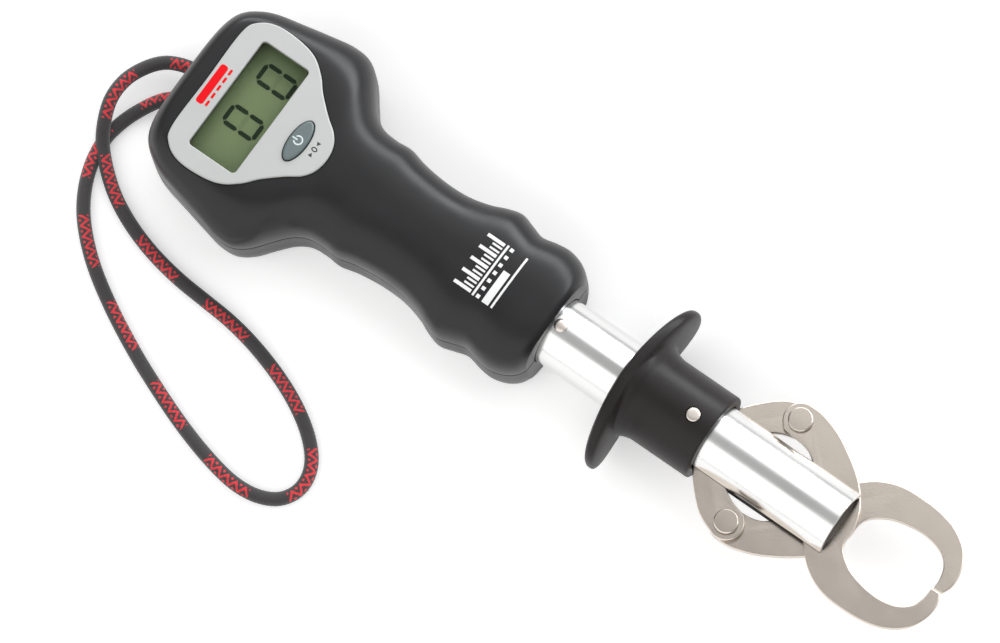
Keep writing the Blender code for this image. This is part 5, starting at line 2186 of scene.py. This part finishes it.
@dataclass
class Lanyard:
    """The round braided cord, which leaves the handle's rear and goes back into it.

    The route gives X behind the tube's front end, Y, and height over the floor.
    """

    layout: Layout
    route: tuple[tuple[float, float, float], ...] = CORD_ROUTE
    radius: float = 2.2 * MM
    strand_step: float = 0.26 * MM
    columns: int = 56
    strands: int = 12
    relief: float = 0.16 * MM
    motif_pitch: float = 28.6 * MM
    motif_length: float = 17.0 * MM
    zigzag_pitch: float = 3.4 * MM
    zigzag_reach: float = 1.35 * MM
    stroke: float = 0.34 * MM
    dot: float = 0.45 * MM
    motif_turn: float = 0.25
    wander: float = 0.07
    wander_rate: float = 41.0
    crown_floor: float = 0.55
    path_step: int = 6

    def centreline(self) -> list[Vector]:
        """Gives evenly spaced points along the route.

        Returns:
            The points.
        """
        fine = smooth_line([(self.layout.tube_front + x, y, z) for x, y, z in self.route], 24)
        run = [0.0]
        for first, second in zip(fine, fine[1:]):
            run.append(run[-1] + (second - first).length)
        count = round(run[-1] / self.strand_step)
        line, here = [], 0
        for number in range(count + 1):
            place = run[-1] * number / count
            while here < len(run) - 2 and run[here + 1] < place:
                here += 1
            share = (place - run[here]) / (run[here + 1] - run[here])
            line.append(fine[here].lerp(fine[here + 1], share))
        return line

    def relief_at(self, along: float, around: float) -> float:
        """Gives the braid's height, from two sets of strands that pass over and under.

        Args:
            along: Distance along the cord.
            around: Share of a turn.

        Returns:
            Height from 0 to 1.
        """
        cell = FULL_TURN * self.radius / self.strands
        first = along / cell + around * self.strands
        second = along / cell - around * self.strands
        over = (math.floor(first) + math.floor(second)) % 2 == 0
        across, length = (first % 1, second % 1) if over else (second % 1, first % 1)
        crown = 1 - (2 * across - 1) ** 2
        bow = self.crown_floor + (1 - self.crown_floor) * math.sin(math.pi * length)
        return math.sqrt(crown) * bow

    def dye_at(self, along: float, around: float) -> float:
        """Gives how much of the second yarn shows, in a zigzag with a dot in each bend.

        Args:
            along: Distance along the cord.
            around: Share of a turn.

        Returns:
            1 on the motif and 0 off it.
        """
        place = along % self.motif_pitch
        if place > self.motif_length:
            return 0.0
        turn = self.motif_turn + self.wander * math.sin(along * self.wander_rate)
        across = ((around - turn + 0.5) % 1 - 0.5) * FULL_TURN * self.radius
        phase = (place / self.zigzag_pitch) % 1
        bend = self.zigzag_reach * (4 * abs(phase - 0.5) - 1)
        slope = math.hypot(1.0, 4 * self.zigzag_reach / self.zigzag_pitch)
        near_line = abs(across - bend) / slope < self.stroke
        dot_side = self.zigzag_reach * (1 if phase < 0.25 or phase > 0.75 else -1)
        past_bend = (place / self.zigzag_pitch * 2) % 1
        from_bend = min(past_bend, 1 - past_bend) * self.zigzag_pitch / 2
        near_dot = math.hypot(from_bend, across + dot_side) < self.dot
        return 1.0 if near_line or near_dot else 0.0

    def build(self) -> None:
        line = self.centreline()
        rows = len(line) - 1
        up = Vector((0, 0, 1))
        frames = []
        for number, point in enumerate(line):
            ahead = line[min(rows, number + 1)] - line[max(0, number - 1)]
            side = ahead.cross(up).normalized()
            frames.append((point, side, side.cross(ahead).normalized()))
        core = self.radius - self.relief

        def shape(along: float, around: float) -> Vector:
            """Gives a point of the cord's surface.

            Args:
                along: Share of the cord's length.
                around: Share of a turn.

            Returns:
                The point.
            """
            number = round(along * rows)
            point, side, top = frames[number]
            distance = number * self.strand_step
            radius = core + self.relief * self.relief_at(distance, around % 1)
            angle = FULL_TURN * around
            return point + (side * math.cos(angle) + top * math.sin(angle)) * radius

        form = wrapped(rows, self.columns, shape)
        layer = form.verts.layers.float.new("dye")
        uv = form.loops.layers.uv.active
        for vert in form.verts:
            loops = [loop for loop in vert.link_loops if len(loop.face.verts) == 4]
            if loops:
                u, v = loops[0][uv].uv
                vert[layer] = self.dye_at(u * rows * self.strand_step, v % 1)
        cord = piece("lanyard", form, BRAID, "handle", ["lanyard_cord"], 80.0, False)


# ---------------------------------------------------------------- studio
@dataclass
class Studio:
    """The floor, the lights and the camera."""

    layout: Layout
    towards_camera: tuple[float, float, float] = (0.20, -0.163, 0.966)
    roll: float = 34.5
    box_length: float = 2.6
    distance: float = 3.5
    lens: float = 422.0
    target: tuple[float, float, float] = (-0.0186, -0.0075, 0.0176)
    floor_size: float = 6.0
    sky_light: float = 0.5
    clip: tuple[float, float] = (0.05, 20.0)
    ground: bpy.types.Object | None = field(default=None, init=False)

    def floor(self) -> None:
        """Builds the pale floor."""
        form = bmesh.new()
        bmesh.ops.create_grid(form, x_segments=1, y_segments=1, size=self.floor_size)
        self.ground = held(form, "studio_floor")
        self.ground.data.materials.append(PAPER.material())

    def lamp(
        self, name: str, start: float, end: float, light: float, colour: Colour
    ) -> bpy.types.Object:
        """Hangs a soft box along the object, over a range of angles.

        Args:
            name: The lamp's name.
            start: Where it starts, in degrees from straight up towards +Y.
            end: Where it ends.
            light: The light that its face gives.
            colour: Its colour.

        Returns:
            The lamp.
        """
        tilt, spread = math.radians((start + end) / 2), math.radians(abs(end - start) / 2)
        data = bpy.data.lights.new(name, "AREA")
        data.shape = "RECTANGLE"
        data.size, data.size_y = self.box_length, 2 * math.tan(spread)
        data.energy = light * math.pi * data.size * data.size_y
        data.color = colour
        lamp = bpy.data.objects.new(name, data)
        bpy.context.scene.collection.objects.link(lamp)
        lamp.location = (0.0, math.sin(tilt), math.cos(tilt))
        lamp.rotation_euler = (-tilt, 0.0, 0.0)
        lamp.visible_camera = False
        return lamp

    def spare_floor(self, lamp: bpy.types.Object) -> None:
        """Keeps a lamp's light off the floor, so that it casts no shadow there.

        Args:
            lamp: The lamp.
        """
        unlit = bpy.data.collections.new(lamp.name + "_unlit")
        unlit.objects.link(self.ground)
        unlit.collection_objects[0].light_linking.link_state = "EXCLUDE"
        lamp.light_linking.receiver_collection = unlit

    def sky(self) -> None:
        """Sets the even light between the soft boxes."""
        world = bpy.data.worlds.new("studio")
        bpy.context.scene.world = world
        world.use_nodes = True
        shade = world.node_tree.nodes["Background"]
        shade.inputs["Color"].default_value = (1.0, 1.0, 1.0, 1.0)
        shade.inputs["Strength"].default_value = self.sky_light

    def camera(self) -> None:
        """Sets the camera over the object, rolled so that the tube runs down to the right."""
        back = Vector(self.towards_camera).normalized()
        along = Vector((1, 0, 0))
        along = (along - back * along.dot(back)).normalized()
        across = back.cross(along)
        angle = math.radians(self.roll)
        right = along * math.cos(angle) + across * math.sin(angle)
        up = across * math.cos(angle) - along * math.sin(angle)
        data = bpy.data.cameras.new("camera")
        data.lens = self.lens
        data.clip_start, data.clip_end = self.clip
        camera = bpy.data.objects.new("camera", data)
        bpy.context.scene.collection.objects.link(camera)
        place = Vector(self.target) + back * self.distance
        turn = Matrix((right, up, back)).transposed().to_4x4()
        camera.matrix_world = Matrix.Translation(place) @ turn
        bpy.context.scene.camera = camera

    def build(self) -> None:
        """Builds the whole studio."""
        self.floor()
        self.lamp("right_high", 11.5, 50.0, 1.05, (1.0, 1.0, 1.0))
        self.spare_floor(self.lamp("right_low", 50.0, 70.0, 7.5, (0.96, 0.98, 1.0)))
        self.lamp("left_box", -24.0, -86.0, 1.10, (1.0, 0.985, 0.965))
        self.sky()
        self.camera()
        bpy.context.scene.view_settings.view_transform = "Standard"


def dress_packed(nodes: dict[str, bpy.types.Object]) -> None:
    """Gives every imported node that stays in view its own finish.

    Args:
        nodes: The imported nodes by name.
    """
    for name, finish in CAD_FINISHES.items():
        node = nodes[name]
        node.data.materials.clear()
        node.data.materials.append(finish.material())


def main() -> None:
    """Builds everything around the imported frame."""
    logging.basicConfig(level=logging.INFO, format="%(name)s: %(message)s")
    for startup in list(bpy.data.objects):
        bpy.data.objects.remove(startup, do_unlink=True)
    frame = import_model()
    layout = Layout.measure()
    dress_packed(frame["nodes"])
    Lanyard(layout).build()
    display = Display(layout)
    housing = Housing(layout)
    housing.build_upper(display.outline(GAP), display.window(MM), display.button_outline(MM / 2))
    housing.build_lower()
    display.build()
    Marks(layout).build()
    button = PowerButton(layout, display.button_x)
    button.build(display.button_outline(0.0), display.button_outline(display.button_flange))
    GripPrint(layout).build(housing.upper)
    Tube(layout).build()
    Trigger(layout).build()
    Gripper(layout).build()
    Back(layout).build()
    Spring(layout).build()
    Studio(layout).build()


if __name__ == "__main__":
    main()
